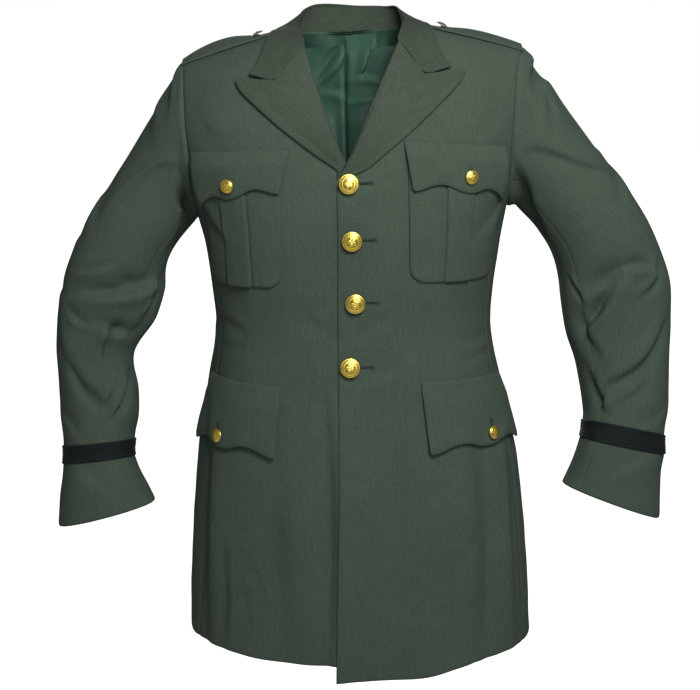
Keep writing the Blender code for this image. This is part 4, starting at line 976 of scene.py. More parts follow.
def sleeve_lift(side, steps, rows):
    """How far the folds move a sleeve's cloth out, by steps round it and rows along it."""
    turn = (steps * 360 / RING)[None, :] % 360
    along = along_sleeve(rows)[:, None]
    table = []
    for crease in SLEEVE_FOLDS[side]:
        begin, end = crease.from_turn, crease.to_turn
        if begin > 340 and end < 180:
            begin -= 360
        table.append(Fold(begin / 360 * GIRTH, float(along_sleeve(crease.from_row)),
                          end / 360 * GIRTH, float(along_sleeve(crease.to_row)), *crease[4:]))
    across = np.where(turn > 345, turn - 360, turn) / 360 * GIRTH
    lift = folds(table, across, along) + waver(np.sin(np.radians(turn)) * 0.05, along, WAVER * 1.3)
    return lift * ease(along / 0.012)


def sleeve_face(side, steps):
    """A sleeve's outer face with its folds, and its outward directions."""
    middle = sleeve_tube(side, np.linspace(0, RING, 97)[:-1])[0].mean(axis=1, keepdims=True)
    tube, square, rows, at_seam = sleeve_tube(side, steps)
    square = aligned(square, tube - middle)
    tube = tube + square * sleeve_lift(side, steps, rows)[..., None]
    square = aligned(directions(tube), tube - middle)
    square[0] = at_seam
    return tube, square, rows


for word, side in SIDES.items():
    for piece, first, last, count, cut in (
        ("top_sleeve", HIND_SEAM_STEP, RING + SEAM_STEP, 104, TOP_SLEEVE_CUT),
        ("under_sleeve", SEAM_STEP, HIND_SEAM_STEP, 48, UNDER_SLEEVE_CUT),
    ):
        steps = first + (last - first) * spaced(count, 0.65 / count)
        tube, square, rows = sleeve_face(side, steps)
        run = np.concatenate([np.zeros((len(tube), 1)),
                              np.cumsum(np.linalg.norm(np.diff(tube, axis=1), axis=-1), axis=1)], axis=1)
        lift = dip(run, SLEEVE_SEAM_DIP) + dip(run[:, -1:] - run, SLEEVE_SEAM_DIP)
        down = along_sleeve(rows)[:, None]
        lift += dip(down, *ARMHOLE_TURN) + dip(down[-1] - down, *CUFF_TURN)
        lift += ARMHOLE_PUFF * np.exp(-(((down - 0.009) / 0.006) ** 2))
        tube = tube + square * lift[..., None]
        inset = np.stack([tube[:, 1] - tube[:, 0], tube[:, -2] - tube[:, -1]], axis=1)
        inset /= np.linalg.norm(inset, axis=-1, keepdims=True)
        tube[:, 0] += inset[:, 0] * SLEEVE_SEAM
        tube[:, -1] += inset[:, 1] * SLEEVE_SEAM
        sleeve = cloth_wall(f"{word}_{piece}", tube, square, CLOTH, wool)
        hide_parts(f"{piece}_{word}")

# -------------------------------------------------------------------------------------- Cuff braid
# Black ribbed mohair braid, 20 mm wide, sewn flat round each sleeve above the cuff by both its edges.

BRAID_CLOTH = 0.0008
BRAID_CLEAR = 0.0003
BRAID_ROWS = (CAP_ROWS + 7, CAP_ROWS + 8)
BRAID_RIBS = 7
BRAID_COLUMNS = 128
BRAID_RIB = 0.00090
BRAID_DARK = (0.0008, 0.0016, 0.0017)
BRAID_LIGHT = (0.0046, 0.0098, 0.0100)

braid_cloth = cloth_material("black mohair braid", BRAID_DARK, BRAID_LIGHT, 0.00012, 0.70, 0.20)
for word, side in SIDES.items():
    steps = np.linspace(0, RING, BRAID_COLUMNS + 1)[:-1]
    tube, square, rows = sleeve_face(side, steps)
    up = np.linspace(*BRAID_ROWS, BRAID_RIBS * 6 + 1)
    at = np.interp(up, rows, np.arange(len(rows)))
    band, out = smoothed(tube, at), smoothed(square, at)
    ribs = np.abs(np.sin(math.pi * BRAID_RIBS * np.linspace(0, 1, len(up)))) ** 0.5 * BRAID_RIB
    band = band + out * (BRAID_CLEAR + BRAID_CLOTH + ribs)[:, None, None]
    braid = cloth_wall(f"{word}_cuff_braid", band, out, BRAID_CLOTH, braid_cloth, closed=True)
    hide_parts(f"cuff_braid_{word}")

# ------------------------------------------------------------------------------------------ Lapels
# Peaked facings in the same wool, turned back on the fronts along a soft roll. The cloth goes round the roll
# in one piece, so each starts inside the coat, turns over the front's edge and lies out to its pressed edge.

LapelEdge = namedtuple("LapelEdge", "x level")
LAPEL_EDGE = [
    LapelEdge(0.0160, -0.1590),
    LapelEdge(0.0415, -0.1403),
    LapelEdge(0.0740, -0.1140),
    LapelEdge(0.0975, -0.0920),
    LapelEdge(0.1204, -0.0673),
    LapelEdge(0.1283, -0.0527),
]
LAPEL_FOOT = {LEFT: LapelEdge(-0.0095, -0.1672), RIGHT: LapelEdge(-0.0165, -0.1680)}
ROLL_FOOT = {LEFT: -0.1645, RIGHT: -0.1515}
NOTCH = LapelEdge(0.0825, -0.0585)
NOTCH_SHARE = 0.45
TURNED = 0.0038
CLEARANCE = 0.0010
ROLL_CROWN = 0.0028
TIP_SPRING = 0.0024
COLLAR_CLEAR = 0.0002
LAPEL_CLOTH = 0.0016
PRESSED_EDGE = (0.0007, 0.0018)
TIP_RISE = {LEFT: 0.0005, RIGHT: 0.0034}
LAPEL_DARK = (0.0220, 0.0310, 0.0220)
LAPEL_LIGHT = (0.0585, 0.0755, 0.0550)


def front_point(side, x, level, lift):
    """A point on a front's face at x, moved out, with the outward direction there."""
    points, outward = front_face(side, theta_at_x(x, level), level)
    if side == LEFT:
        points = points - outward * overlap_lift(points[..., :1])
    return points + outward * lift[..., None], outward


def flap_over(side, x):
    """How far a facing is carried out by the overlap of the fronts, which only the left one is."""
    return overlap_lift(x) if side == LEFT else 0 * x


def lapel_lines(side, up, across):
    """Where a lapel lies, as x and level: from the roll line to the outer edge, up to the gorge."""
    roll_level = ROLL_FOOT[side] + (GORGE_TOP - ROLL_FOOT[side]) * up
    roll_x = column(ROLL, WORDS[side], roll_level)
    foot = LAPEL_FOOT[side]
    edge = numbered([LapelEdge(foot.x * side, foot.level), *LAPEL_EDGE], up * len(LAPEL_EDGE))
    edge_x, edge_level = edge[:, 0] * side, edge[:, 1]
    top_x = np.interp(across, [0, NOTCH_SHARE, 1], [roll_x[-1], NOTCH.x * side, edge_x[-1]])
    top_level = np.interp(across, [0, NOTCH_SHARE, 1], [roll_level[-1], NOTCH.level, edge_level[-1]])
    x = roll_x[:, None] * (1 - across) + edge_x[:, None] * across
    level = roll_level[:, None] * (1 - across) + edge_level[:, None] * across
    bend = up[:, None] ** 3
    tip = TIP_RISE[side] * up[:, None] ** 3 * across**2
    return x + bend * (top_x - x[-1]), level + bend * (top_level - level[-1]) + tip


facing = cloth_material("wool serge facing", LAPEL_DARK, LAPEL_LIGHT, TWILL, MATT, 0.12)
for word, side in SIDES.items():
    up = spaced(74, 0.006)
    across = spaced(44, 0.010, (False, True))
    x, level = lapel_lines(side, up, across)
    rise = ease(up / 0.3)[:, None]
    flat = CLOTH + CLEARANCE
    base = flap_over(side, x)
    crown = ROLL_CROWN * np.sin(math.pi * np.clip(across * 1.25, 0, 1)) * (1 - up[:, None] ** 5)
    crown = crown + TIP_SPRING * across * up[:, None] ** 2 + dip((1 - across) * 0.08, *PRESSED_EDGE)
    lift = base + flat + rise * (TURNED - flat + crown)
    top, outward = front_point(side, x, level, lift)
    toward = aligned(top[:, 6:7] - top[:, :1], np.array([side, 0, 0]))
    toward /= np.linalg.norm(toward, axis=-1, keepdims=True)
    radius = (lift[:, :1, None] + 0.0034) / 2 * (0.25 + 0.75 * rise[..., None])
    angle = np.linspace(-0.5 * math.pi, 0.5 * math.pi, 13)[None, :-1, None]
    centre = top[:, :1] + toward * radius * 0.9 - outward[:, :1] * radius
    rolled = centre - toward * radius * 0.9 * np.cos(angle) + outward[:, :1] * radius * np.sin(angle)
    settle_in = ease(np.clip(across[None, :, None] / 0.08, 0, 1))
    top = top + toward * radius * 0.9 * (1 - settle_in)
    inside = rolled[:, :1] + toward * np.array([0.012, 0.006])[None, :, None] - outward[:, :1] * 0.0006
    grid = np.concatenate([inside, rolled, top], axis=1)
    middle = centre + np.zeros_like(grid)
    square = directions(grid)
    square = aligned(square, np.concatenate([grid[:, :14] - middle[:, :14], outward], axis=1))
    pulled = grid[-2] - grid[-1]
    grid[-1] += pulled / np.linalg.norm(pulled, axis=-1, keepdims=True) * COLLAR_CLEAR
    lapel = cloth_wall(f"{word}_lapel", lean(grid), square, LAPEL_CLOTH, facing)
    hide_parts(f"lapel_{word}")

# ------------------------------------------------------------------------------------------ Collar
# One folded piece: a stand sewn to the neck seam, a fold along the top and a fall that comes down over the
# shoulders. Its ends run down the gorge seams to the notches and out to the collar's points.

COLLAR_POINT = LapelEdge(0.1116, -0.0486)
# The collar's colours are the facing's times 0.88: a darker copy of the same serge, as painted shade on the
# collar.
COLLAR_SHADED_DARK = (0.0194, 0.0273, 0.0194)
COLLAR_SHADED_LIGHT = (0.0515, 0.0664, 0.0484)
COLLAR_LIFT = 0.0056
COLLAR_CLOTH = 0.0024
COLLAR_COLUMNS = 161
COLLAR_ROWS = 58
COLLAR_BEHIND = 0.40
COLLAR_LEVELLED = 0.105
COLLAR_SHIFT = 0.0035
END_LIFTS = (0.0042, 0.0049, 0.0064)
GORGE_START = 0.62
STAND_SHARES = (0.0, 0.45, 0.82)
SHOULDER_ARC = 1.1

Neck = namedtuple("Neck", "share seam_x seam_y seam_z fold_x fold_y fold_z edge_x edge_y edge_z")
COLLAR = [
    Neck(0.00, 0.000, 0.060, -0.002, 0.000, 0.069, 0.0295, 0.000, 0.092, -0.018),
    Neck(0.25, 0.040, 0.051, -0.001, 0.036, 0.062, 0.0300, 0.048, 0.084, -0.012),
    Neck(0.50, 0.066, 0.028, 0.000, 0.055, 0.036, 0.0240, 0.084, 0.050, 0.003),
    Neck(0.68, 0.070, 0.006, 0.000, 0.0605, 0.008, 0.0095, 0.0885, 0.012, 0.0035),
    Neck(0.84, 0.066, -0.024, -0.004, 0.0600, -0.026, -0.0010, 0.0890, -0.032, -0.006),
    Neck(0.92, 0.062, -0.042, -0.012, 0.0580, -0.0460, -0.0090, 0.0940, -0.062, -0.022),
    Neck(1.00, 0.058, -0.060, -0.020, 0.0545, -0.0660, -0.0200, 0.1050, -0.080, -0.042),
]


def over_shoulder(x):
    """The form's line over the shoulder at each x, from the chest to the back, and outward there."""
    arc = np.linspace(-SHOULDER_ARC, SHOULDER_ARC, 181)
    level = np.minimum(CHEST_LEVEL * (1 - np.cos(arc)), SHOULDER_TOP)
    theta = theta_at_x(np.asarray(x, float)[..., None], level)
    return skin(np.where(arc < 0, theta, math.pi - theta), level)


def settled(points, clearance):
    """Points moved out where needed, to lie at least a clearance off the form's shoulders."""
    line, outward = over_shoulder(points[..., 0])
    apart = points[..., None, :] - line
    nearest = np.argmin(np.linalg.norm(apart, axis=-1), axis=-1)[..., None, None]
    apart = np.take_along_axis(apart, nearest, axis=-2)[..., 0, :]
    outward = np.take_along_axis(outward, nearest, axis=-2)[..., 0, :]
    height = np.sum(apart * outward, axis=-1, keepdims=True)
    return points + outward * np.maximum(0, clearance - height)


def collar_lines(shares):
    """The neck seam, the fold and the outer edge, at any share of the way from the back to a gorge."""
    mirrored = [row._replace(share=-row.share, seam_x=-row.seam_x, fold_x=-row.fold_x, edge_x=-row.edge_x)
                for row in COLLAR[:0:-1]]
    table = [*mirrored, *COLLAR]
    lines = [np.stack([column(table, f"{line}_{axis}", shares) for axis in "xyz"], axis=-1)
             for line in ("seam", "fold", "edge")]
    behind = np.exp(-((shares / COLLAR_BEHIND) ** 4))
    lines[1][:, 2] -= COLLAR_LEVELLED * lines[1][:, 0] * behind
    lines[1][:, 0] += COLLAR_SHIFT * behind
    return lines


def collar_end(side, fall):
    """The end of the fall: down the gorge seam from the roll to the notch, then out to the point."""
    gorge_x = column(ROLL, WORDS[side], GORGE_TOP)
    places = ((gorge_x, GORGE_TOP), (side * NOTCH.x, NOTCH.level),
              (side * COLLAR_POINT.x, COLLAR_POINT.level + TIP_RISE[side] * 0.7))
    x, level = np.array(places).T
    corners = front_point(side, x, level, np.array(END_LIFTS) + flap_over(side, x))[0]
    return np.stack([np.interp(fall, [0, NOTCH_SHARE, 1], corners[:, axis]) for axis in range(3)], axis=-1)


shares = np.linspace(-1, 1, COLLAR_COLUMNS)
seam, fold, edge = collar_lines(shares)
fall = np.linspace(0, 1, 6)
stand = seam[:, None] + (fold - seam)[:, None] * np.array(STAND_SHARES)[:, None]
line = fold[:, None] + (edge - fold)[:, None] * fall[:, None]
clearance = np.full((len(shares), 1, 1), COLLAR_LIFT)
for side in (LEFT, RIGHT):
    end = -1 if side == LEFT else 0
    toward_end = ease((side * shares - GORGE_START) / (1 - GORGE_START))[:, None, None]
    clearance = clearance - (COLLAR_LIFT - END_LIFTS[0]) * toward_end
    line = line + toward_end * (collar_end(side, fall) - (fold[end] + (edge - fold)[end] * fall[:, None]))
grid = np.concatenate([settled(stand, SEAM * 2), settled(line, clearance)], axis=1)
place = spaced(COLLAR_ROWS, 0.007) * (grid.shape[1] - 1)
grid = np.moveaxis(smoothed(np.moveaxis(grid, 1, 0), place), 0, 1)
grid = smoothed(grid, spaced(COLLAR_COLUMNS, 0.0022) * (len(grid) - 1))
square = directions(grid)
inside = np.sum(square[:, :1] * (grid[:, :1] * [1, 1, 0]), axis=-1, keepdims=True)
square = square * -np.sign(inside)
soft = waver(shares[:, None] * 0.2, place[None, :] * 0.008, 0.0005)
grid = grid + square * (soft + dip((1 - place / place[-1])[None, :] * 0.09, 0.0006, 0.0018))[..., None]
# The collar's serge: the facing's colours darkened as painted shade.
shaded_collar_serge = cloth_material("wool serge collar darkened as painted shade", COLLAR_SHADED_DARK, COLLAR_SHADED_LIGHT, TWILL, MATT, 0.12)
collar = cloth_wall("folded_collar", lean(grid), square, COLLAR_CLOTH, shaded_collar_serge)
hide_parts("collar")

# ---------------------------------------------------------------------------------- Breast pockets
# Two patch pockets in the same wool with a box pleat pressed down the middle and rounded lower corners. Each
# is topstitched to its front down the sides and along the foot, and its top is under the flap.

POCKET_CLOTH = 0.0015
POCKET_LIFT = 0.0014
POCKET_CORNER = 0.020
POCKET_TURN = (0.0006, 0.0014)
PLEAT_HALF = 0.016
PLEAT_RISE = 0.0022
PLEAT_CREASE = 0.0012
PLEAT_LEAN = {LEFT: 0.0052, RIGHT: 0.0047}
PLEAT_LEAN_FADE = 0.05
PLEAT_COLUMNS = np.array([-0.0009, -0.0003, 0.0003, 0.0009])
STITCH_PITCH = 0.0030
STITCH_LENGTH = 0.0023
STITCH_THREAD = 0.00022
EDGE_STITCHED = 0.0022
THREAD_DARK = (0.0120, 0.0190, 0.0140)
THREAD_LIGHT = (0.0420, 0.0580, 0.0440)

Pocket = namedtuple("Pocket", "inner outer top foot pleat_middle")
POCKET = {
    LEFT: Pocket(0.0632, 0.1800, -0.1500, -0.2870, 0.1240),
    RIGHT: Pocket(0.0800, 0.1860, -0.1500, -0.2915, 0.1380),
}


def laid_on(side, reach, level, lift):
    """Points on a front's face by reach and level, moved out, and the outward directions there."""
    points, outward = front_face(side, theta_at_reach(side * reach, level), level)
    return points + outward * np.asarray(lift)[..., None], outward


def beads(name, centres, ahead, outward, length, radius, material, sides=6):
    """Threads as short round beads, one at each centre: thick in the middle and sinking at both ends."""
    share = np.array([-1.0, -0.8, 0.0, 0.8, 1.0])
    girth = np.sqrt(np.clip(1.02 - share**2, 0.02, 1))
    turn = 2 * math.pi * np.arange(sides) / sides
    sideways = np.cross(outward, ahead)
    ring = (np.cos(turn)[:, None] * sideways[:, None, None, :]
            + np.sin(turn)[:, None] * outward[:, None, None, :]) * (radius * girth)[:, None, None]
    centre = centres[:, None, :] + ahead[:, None, :] * (share * length / 2)[:, None]
    centre = centre - outward[:, None, :] * (radius * 1.1 * share**2)[:, None]
    points = (centre[:, :, None, :] + ring).reshape(-1, 3)
    row, col = np.meshgrid(np.arange(len(share) - 1), np.arange(sides), indexing="ij")
    after = (col + 1) % sides
    near, far = row * sides, (row + 1) * sides
    quad = np.stack([near + col, near + after, far + after, far + col], axis=-1).reshape(-1, 4)
    faces = (quad[None] + (np.arange(len(centres)) * len(share) * sides)[:, None, None]).reshape(-1, 4)
    uv = np.stack([points[:, 0], points[:, 2]], axis=-1)
    return add_mesh(name, points, faces, uv, material)


def stitch_places(path, outward, pitch):
    """Evenly spaced places along a line on the cloth: centres, directions ahead and outward directions."""
    run = np.concatenate([[0], np.cumsum(np.linalg.norm(np.diff(path, axis=0), axis=-1))])
    at = np.arange(pitch / 2, run[-1], pitch)
    row = np.interp(at, run, np.arange(len(run)))
    centres = smoothed(path, row)
    ahead = smoothed(path, row + 0.3) - smoothed(path, row - 0.3)
    out = smoothed(outward, row)
    ahead /= np.linalg.norm(ahead, axis=-1, keepdims=True)
    out -= ahead * np.sum(ahead * out, axis=-1, keepdims=True)
    return centres, ahead, out / np.linalg.norm(out, axis=-1, keepdims=True)


def stitched_edge(name, side, reach, level, lift, inset, material):
    """Topstitching round the sides and foot of a piece laid on a front, set in from its edge."""
    line = np.concatenate([np.stack([reach[:, 0], level[:, 0]], axis=-1),
                           np.stack([reach[-1], level[-1]], axis=-1)[1:-1],
                           np.stack([reach[::-1, -1], level[::-1, -1]], axis=-1)])
    ahead = np.gradient(line, axis=0)
    ahead /= np.maximum(np.linalg.norm(ahead, axis=-1, keepdims=True), 1e-9)
    line = line + np.stack([-ahead[:, 1], ahead[:, 0]], axis=-1) * inset
    path, outward = laid_on(side, line[:, 0], line[:, 1], lift)
    centres, ahead, out = stitch_places(lean(path), outward, STITCH_PITCH)
    return beads(name, centres, ahead, out, STITCH_LENGTH, STITCH_THREAD, material)


thread = cloth_material("sewing thread", THREAD_DARK, THREAD_LIGHT, 0.00010, 0.60, 0.40)
for word, side in SIDES.items():
    pocket = POCKET[side]
    across = pocket.inner + (pocket.outer - pocket.inner) * spaced(40, 0.012)
    folds_at = [pocket.pleat_middle - PLEAT_HALF, pocket.pleat_middle + PLEAT_HALF]
    across = np.sort(np.concatenate([across, *[place + PLEAT_COLUMNS for place in folds_at]]))
    down = spaced(50, 0.010)[:, None]
    from_edge = np.minimum(across - pocket.inner, pocket.outer - across)
    rounded = np.clip(1 - from_edge / POCKET_CORNER, 0, 1)
    foot = pocket.foot + POCKET_CORNER * (1 - np.sqrt(1 - rounded**2)) * 0.94
    level = pocket.top + (foot - pocket.top) * down
    weight = 1 - np.abs(across - pocket.pleat_middle) / PLEAT_LEAN_FADE
    reach = across - PLEAT_LEAN[side] * np.clip(weight, 0, 1) * down
    inside = PLEAT_HALF - np.abs(across - pocket.pleat_middle)
    raised = ease(inside / 0.0006 + 0.5) * np.ones_like(down)
    creased = -PLEAT_CREASE * np.exp(-((inside + 0.0010) / 0.0012) ** 2)
    edge = dip(from_edge, *POCKET_TURN) + dip(level - foot, *POCKET_TURN)
    soft = waver(across, level, 0.0004)
    lift = POCKET_LIFT + POCKET_CLOTH + PLEAT_RISE * raised + creased + edge + soft
    points, outward = laid_on(side, reach, level, lift)
    square = aligned(directions(points), outward)
    patch = cloth_wall(f"{word}_breast_pocket_patch", lean(points), square, POCKET_CLOTH, wool)
    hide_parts(f"breast_pocket_{word}")
    sewn = stitched_edge(f"{word}_pocket_topstitching", side, reach, level, POCKET_LIFT + POCKET_CLOTH,
                         EDGE_STITCHED, thread)

# ------------------------------------------------------------------------------------ Pocket flaps
# Scalloped flaps, lined, turned out and topstitched: two over the breast pockets and two over the hip
# pockets, whose bags are inside. Each is sewn down along its top and buttoned in the middle.

FLAP_CLOTH = 0.0018
FLAP_CLEAR = 0.0012
FLAP_SCOOP = 0.0085
FLAP_POINT = 0.0030
FLAP_CORNER = 0.0026
FLAP_SQUARE = 0.955
FLAP_TURN = (0.0008, 0.0016)
FLAP_SEWN = (0.0010, 0.0022)
FLAP_CURL = 0.0012
FLAP_FILLS = 2.6
FLAP_SEWN_RISE = 0.97
FLAP_RISE = {"breast": 0.0046, "hip": 0.0035}

Flap = namedtuple("Flap", "top_inner top_outer top_inner_level top_outer_level "
                          "foot_inner foot_middle foot_outer foot_inner_level foot_outer_level")
FLAPS = {
    "breast": {
        LEFT: Flap(0.0589, 0.1830, -0.1300, -0.1386, 0.0665, 0.1300, 0.1855, -0.1840, -0.1985),
        RIGHT: Flap(0.0687, 0.1900, -0.1340, -0.1300, 0.0790, 0.1360, 0.1870, -0.1825, -0.1980),
    },
    "hip": {
        LEFT: Flap(0.0762, 0.2060, -0.4012, -0.4022, 0.0820, 0.1590, 0.2260, -0.4850, -0.4830),
        RIGHT: Flap(0.0863, 0.2000, -0.4078, -0.4030, 0.0955, 0.1660, 0.2310, -0.4905, -0.4850),
    },
}


def flap_lines(flap, columns, rows):
    """A flap as reach and level, from its sewn top to its scalloped foot with softened corners."""
    across = (2 * spaced(columns, 0.010) - 1)[None, :]
    down = spaced(rows, 0.020)[:, None]
    share = (across + 1) / 2
    top = flap.top_inner + (flap.top_outer - flap.top_inner) * share
    foot = flap.foot_inner + (flap.foot_outer - flap.foot_inner) * share
    foot = foot + (flap.foot_middle - (flap.foot_inner + flap.foot_outer) / 2) * (1 - across**2)
    top_level = flap.top_inner_level + (flap.top_outer_level - flap.top_inner_level) * share
    foot_level = flap.foot_inner_level + (flap.foot_outer_level - flap.foot_inner_level) * share
    scoop = (1 - np.cos(2 * math.pi * np.abs(across))) / 2
    foot_level = foot_level + FLAP_SCOOP * scoop + FLAP_POINT * (1 - np.abs(across)) ** 2
    corner = np.clip((np.abs(across) - FLAP_SQUARE) / (1 - FLAP_SQUARE), 0, 1)
    foot_level = foot_level + FLAP_CORNER * (1 - np.sqrt(1 - corner**2))
    return top + (foot - top) * down, top_level + (foot_level - top_level) * down, across, down


for kind in ("breast", "hip"):
    for word, side in SIDES.items():
        reach, level, across, down = flap_lines(FLAPS[kind][side], 56, 34)
        edge = dip((1 - np.abs(across)) * 0.06, *FLAP_TURN) + dip((1 - down) * 0.05, *FLAP_TURN)
        sewn_down = dip(down * 0.06, *FLAP_SEWN)
        curl = FLAP_CURL * np.abs(across) ** 3 * down**2
        full = FLAP_RISE[kind] * ease(down * FLAP_FILLS)
        lift = FLAP_CLEAR + FLAP_CLOTH + full + edge + sewn_down + curl
        lift = lift + waver(reach * 1.4, level, 0.0005)
        points, outward = laid_on(side, reach, level, lift)
        square = aligned(directions(points), outward)
        flap = cloth_wall(f"{word}_{kind}_flap_cloth", lean(points), square, FLAP_CLOTH, wool)
        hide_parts(f"{kind}_flap_{word}")
        rise = FLAP_CLEAR + FLAP_CLOTH + FLAP_RISE[kind] * FLAP_SEWN_RISE
        sewn = stitched_edge(f"{word}_{kind}_flap_topstitching", side, reach[6:], level[6:], rise,
                             EDGE_STITCHED, thread)

# ---------------------------------------------------------------------------------- Shoulder loops
# Straps in the same wool, pointed at the neck and topstitched all round. Each is sewn into the armhole
# seam, stands off the back of the shoulder and is buttoned down by the collar.

LOOP_CLOTH = 0.0018
LOOP_WIDE = 0.040
LOOP_TURN = (0.0005, 0.0014)
LOOP_ROOT = {LEFT: 0.0055, RIGHT: 0.0}
LOOP_STITCHED = 0.09
LOOP_SEWN_FROM = 0.1
LOOP_SEWN_TO = 5.75
LOOP_SEWN_POINT = 5.78

# How much of its height each loop's back edge keeps as it is worn.
LOOP_RISE = {LEFT: 0.45, RIGHT: 0.85}

# Each edge's place, from the armhole to the point, and its height off the shoulder.
Loop = namedtuple("Loop", "x front_y back_y front_lift back_lift")
LOOP = [
    Loop(0.1950, -0.0300, 0.0100, 0.0030, 0.0035),
    Loop(0.1840, -0.0330, 0.0080, 0.0032, 0.0090),
    Loop(0.1620, -0.0350, 0.0060, 0.0034, 0.0140),
    Loop(0.1400, -0.0345, 0.0050, 0.0034, 0.0140),
    Loop(0.1200, -0.0330, 0.0030, 0.0034, 0.0085),
    Loop(0.1050, -0.0300, 0.0000, 0.0029, 0.0042),
    Loop(0.0900, -0.0190, -0.0110, 0.0029, 0.0029),
]


def on_shoulder(x, y, lift):
    """Points above the shoulder at each x and y, lifted off the form."""
    line = over_shoulder(x)[0]
    after = np.clip((line[..., 1] < y[..., None]).sum(axis=-1), 1, line.shape[-2] - 1)[..., None, None]
    low = np.take_along_axis(line, after - 1, axis=-2)[..., 0, :]
    high = np.take_along_axis(line, after, axis=-2)[..., 0, :]
    share = (y - low[..., 1]) / np.maximum(high[..., 1] - low[..., 1], 1e-9)
    height = low[..., 2] + (high[..., 2] - low[..., 2]) * np.clip(share, 0, 1)
    return np.stack([x, y, height + lift], axis=-1)


def loop_points(side, place, across):
    """Points on a loop, by row number along it and from its front edge (0) to its back edge (1)."""
    place, across = np.broadcast_arrays(np.asarray(place, float), np.asarray(across, float))
    x, front_y, back_y, front_lift, back_lift = np.moveaxis(numbered(LOOP, place), -1, 0)
    x = x + LOOP_ROOT[side] * ease(1 - place / 2)
    y = front_y + (back_y - front_y) * across
    lift = front_lift + (back_lift - front_lift) * LOOP_RISE[side] * across
    return on_shoulder(x, y, lift) * [side, 1, 1]


for word, side in SIDES.items():
    place = (spaced(66, 0.006) * (len(LOOP) - 1))[:, None]
    across = spaced(22, 0.025)[None, :]
    points = loop_points(side, place, across)
    square = directions(points)
    square *= np.sign(square[..., 2:3])
    edge = dip(across * LOOP_WIDE, *LOOP_TURN) + dip((1 - across) * LOOP_WIDE, *LOOP_TURN)
    points = points + square * (edge * np.ones_like(place))[..., None]
    loop = cloth_wall(f"{word}_shoulder_loop", lean(points), square, LOOP_CLOTH, wool)
    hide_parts(f"shoulder_loop_{word}")
    ahead = np.linspace(LOOP_SEWN_FROM, LOOP_SEWN_TO, 60)
    turned = np.linspace(LOOP_STITCHED, 1 - LOOP_STITCHED, 8)
    round_place = np.concatenate([ahead, np.full(8, LOOP_SEWN_POINT), ahead[::-1]])
    round_across = np.concatenate([np.full(60, turned[0]), turned, np.full(60, turned[-1])])
    path = loop_points(side, round_place, round_across)
    up = np.zeros_like(path) + [0, 0, 1.0]
    centres, forward, out = stitch_places(lean(path), up, STITCH_PITCH)
    sewn = beads(f"{word}_loop_topstitching", centres, forward, out, STITCH_LENGTH, STITCH_THREAD, thread)

# ------------------------------------------------------------------------------------- Buttonholes
# Four worked buttonholes across the left front and one down each flap, in twist darkened as painted shade:
# close stitches set round a narrow slit, a near-black bead of painted shade, with a rounder eye at the far
# end.

HOLE_LENGTH = 0.0250
HOLE_START = 0.0020
FLAP_HOLE_LENGTH = 0.0150
HOLE_HALF = 0.0008
HOLE_STITCH = 0.0010
HOLE_PITCH = 0.00062
HOLE_RISE = 0.0006
FLAP_HOLE_CLEAR = 0.0002
EYE_ROUND = 1.3
EYE_FROM_END = 0.0016
EYE_LENGTH = 0.0015
TWIST_THREAD = 0.00036
# The twist's tones sit far below the cloth's: painted shade round the stitched hole.
TWIST_SHADED_DARK = (0.0040, 0.0062, 0.0048)
TWIST_SHADED_LIGHT = (0.0120, 0.0170, 0.0130)
# The slit's colour: near-black painted shade, for the shadow down in the cut.
SLIT_PAINTED_SHADE = (0.0060, 0.0085, 0.0066)

FrontButton = namedtuple("FrontButton", "x level")
FRONT_BUTTONS = [
    FrontButton(-0.0035, -0.1743),
    FrontButton(-0.0012, -0.2371),
    FrontButton(0.0024, -0.3083),
    FrontButton(-0.0045, -0.3832),
]
FlapButton = namedtuple("FlapButton", "reach level")
FLAP_BUTTONS = {
    "breast": {LEFT: FlapButton(0.1323, -0.1711), RIGHT: FlapButton(0.1379, -0.1719)},
    "hip": {LEFT: FlapButton(0.1638, -0.4670), RIGHT: FlapButton(0.1681, -0.4715)},
}


def buttonhole(name, ends, outward, rise, length):
    """Close stitches between two points of the cloth, each lying square to the slit, a dark bead of painted
    shade.
    """
    ends = lean(ends)
    ahead = (ends[1] - ends[0]) / np.linalg.norm(ends[1] - ends[0])
    outward = outward[0] - ahead * np.dot(ahead, outward[0])
    outward /= np.linalg.norm(outward)
    centre = ends.mean(axis=0) + outward * rise
    sideways = np.cross(outward, ahead)
    count = int(length / HOLE_PITCH)
    along = np.linspace(-length / 2, length / 2, count)
    eye = 1 + EYE_ROUND * np.exp(-(((along - length / 2 + EYE_FROM_END) / EYE_LENGTH) ** 2))
    sides = []
    for sign in (-1, 1):
        offset = sign * (HOLE_HALF * eye + HOLE_STITCH / 2 - 0.0004)
        sides.append(centre + along[:, None] * ahead + offset[:, None] * sideways)
    centres = np.concatenate([*sides, centre + np.array([[-1.0], [1.0]]) * (length / 2 + 0.0004) * ahead])
    direction = np.tile(sideways, (len(centres), 1))
    out = np.tile(outward, (len(centres), 1))
    beads(f"{name}_stitches", centres, direction, out, HOLE_STITCH, TWIST_THREAD, twist)
    # The slit: a near-black bead on the cloth, painted shade in the cut.
    beads(f"{name}_slit", centre[None] + outward * 0.0001, ahead[None], outward[None], length,
          HOLE_HALF * 0.80, slit_shade, sides=12)


def plain(name, colour, lighter, scale, roughness, metallic=0.0):
    """A finish whose colour wanders a little between two tones."""
    material, tree, shader = shaded(name)
    place = node(tree, "ShaderNodeTexCoord", "place")
    tone = node(tree, "ShaderNodeTexNoise", "tone", Vector=place.outputs["Object"], Scale=scale, Detail=3.0)
    mix = node(tree, "ShaderNodeMix", "two tones", data_type="RGBA")
    tree.links.new(tone.outputs[0], mix.inputs["Factor"])
    mix.inputs[6].default_value = (*colour, 1)
    mix.inputs[7].default_value = (*lighter, 1)
    tree.links.new(mix.outputs[2], shader.inputs["Base Color"])
    shader.inputs["Roughness"].default_value = roughness
    shader.inputs["Metallic"].default_value = metallic
    return material
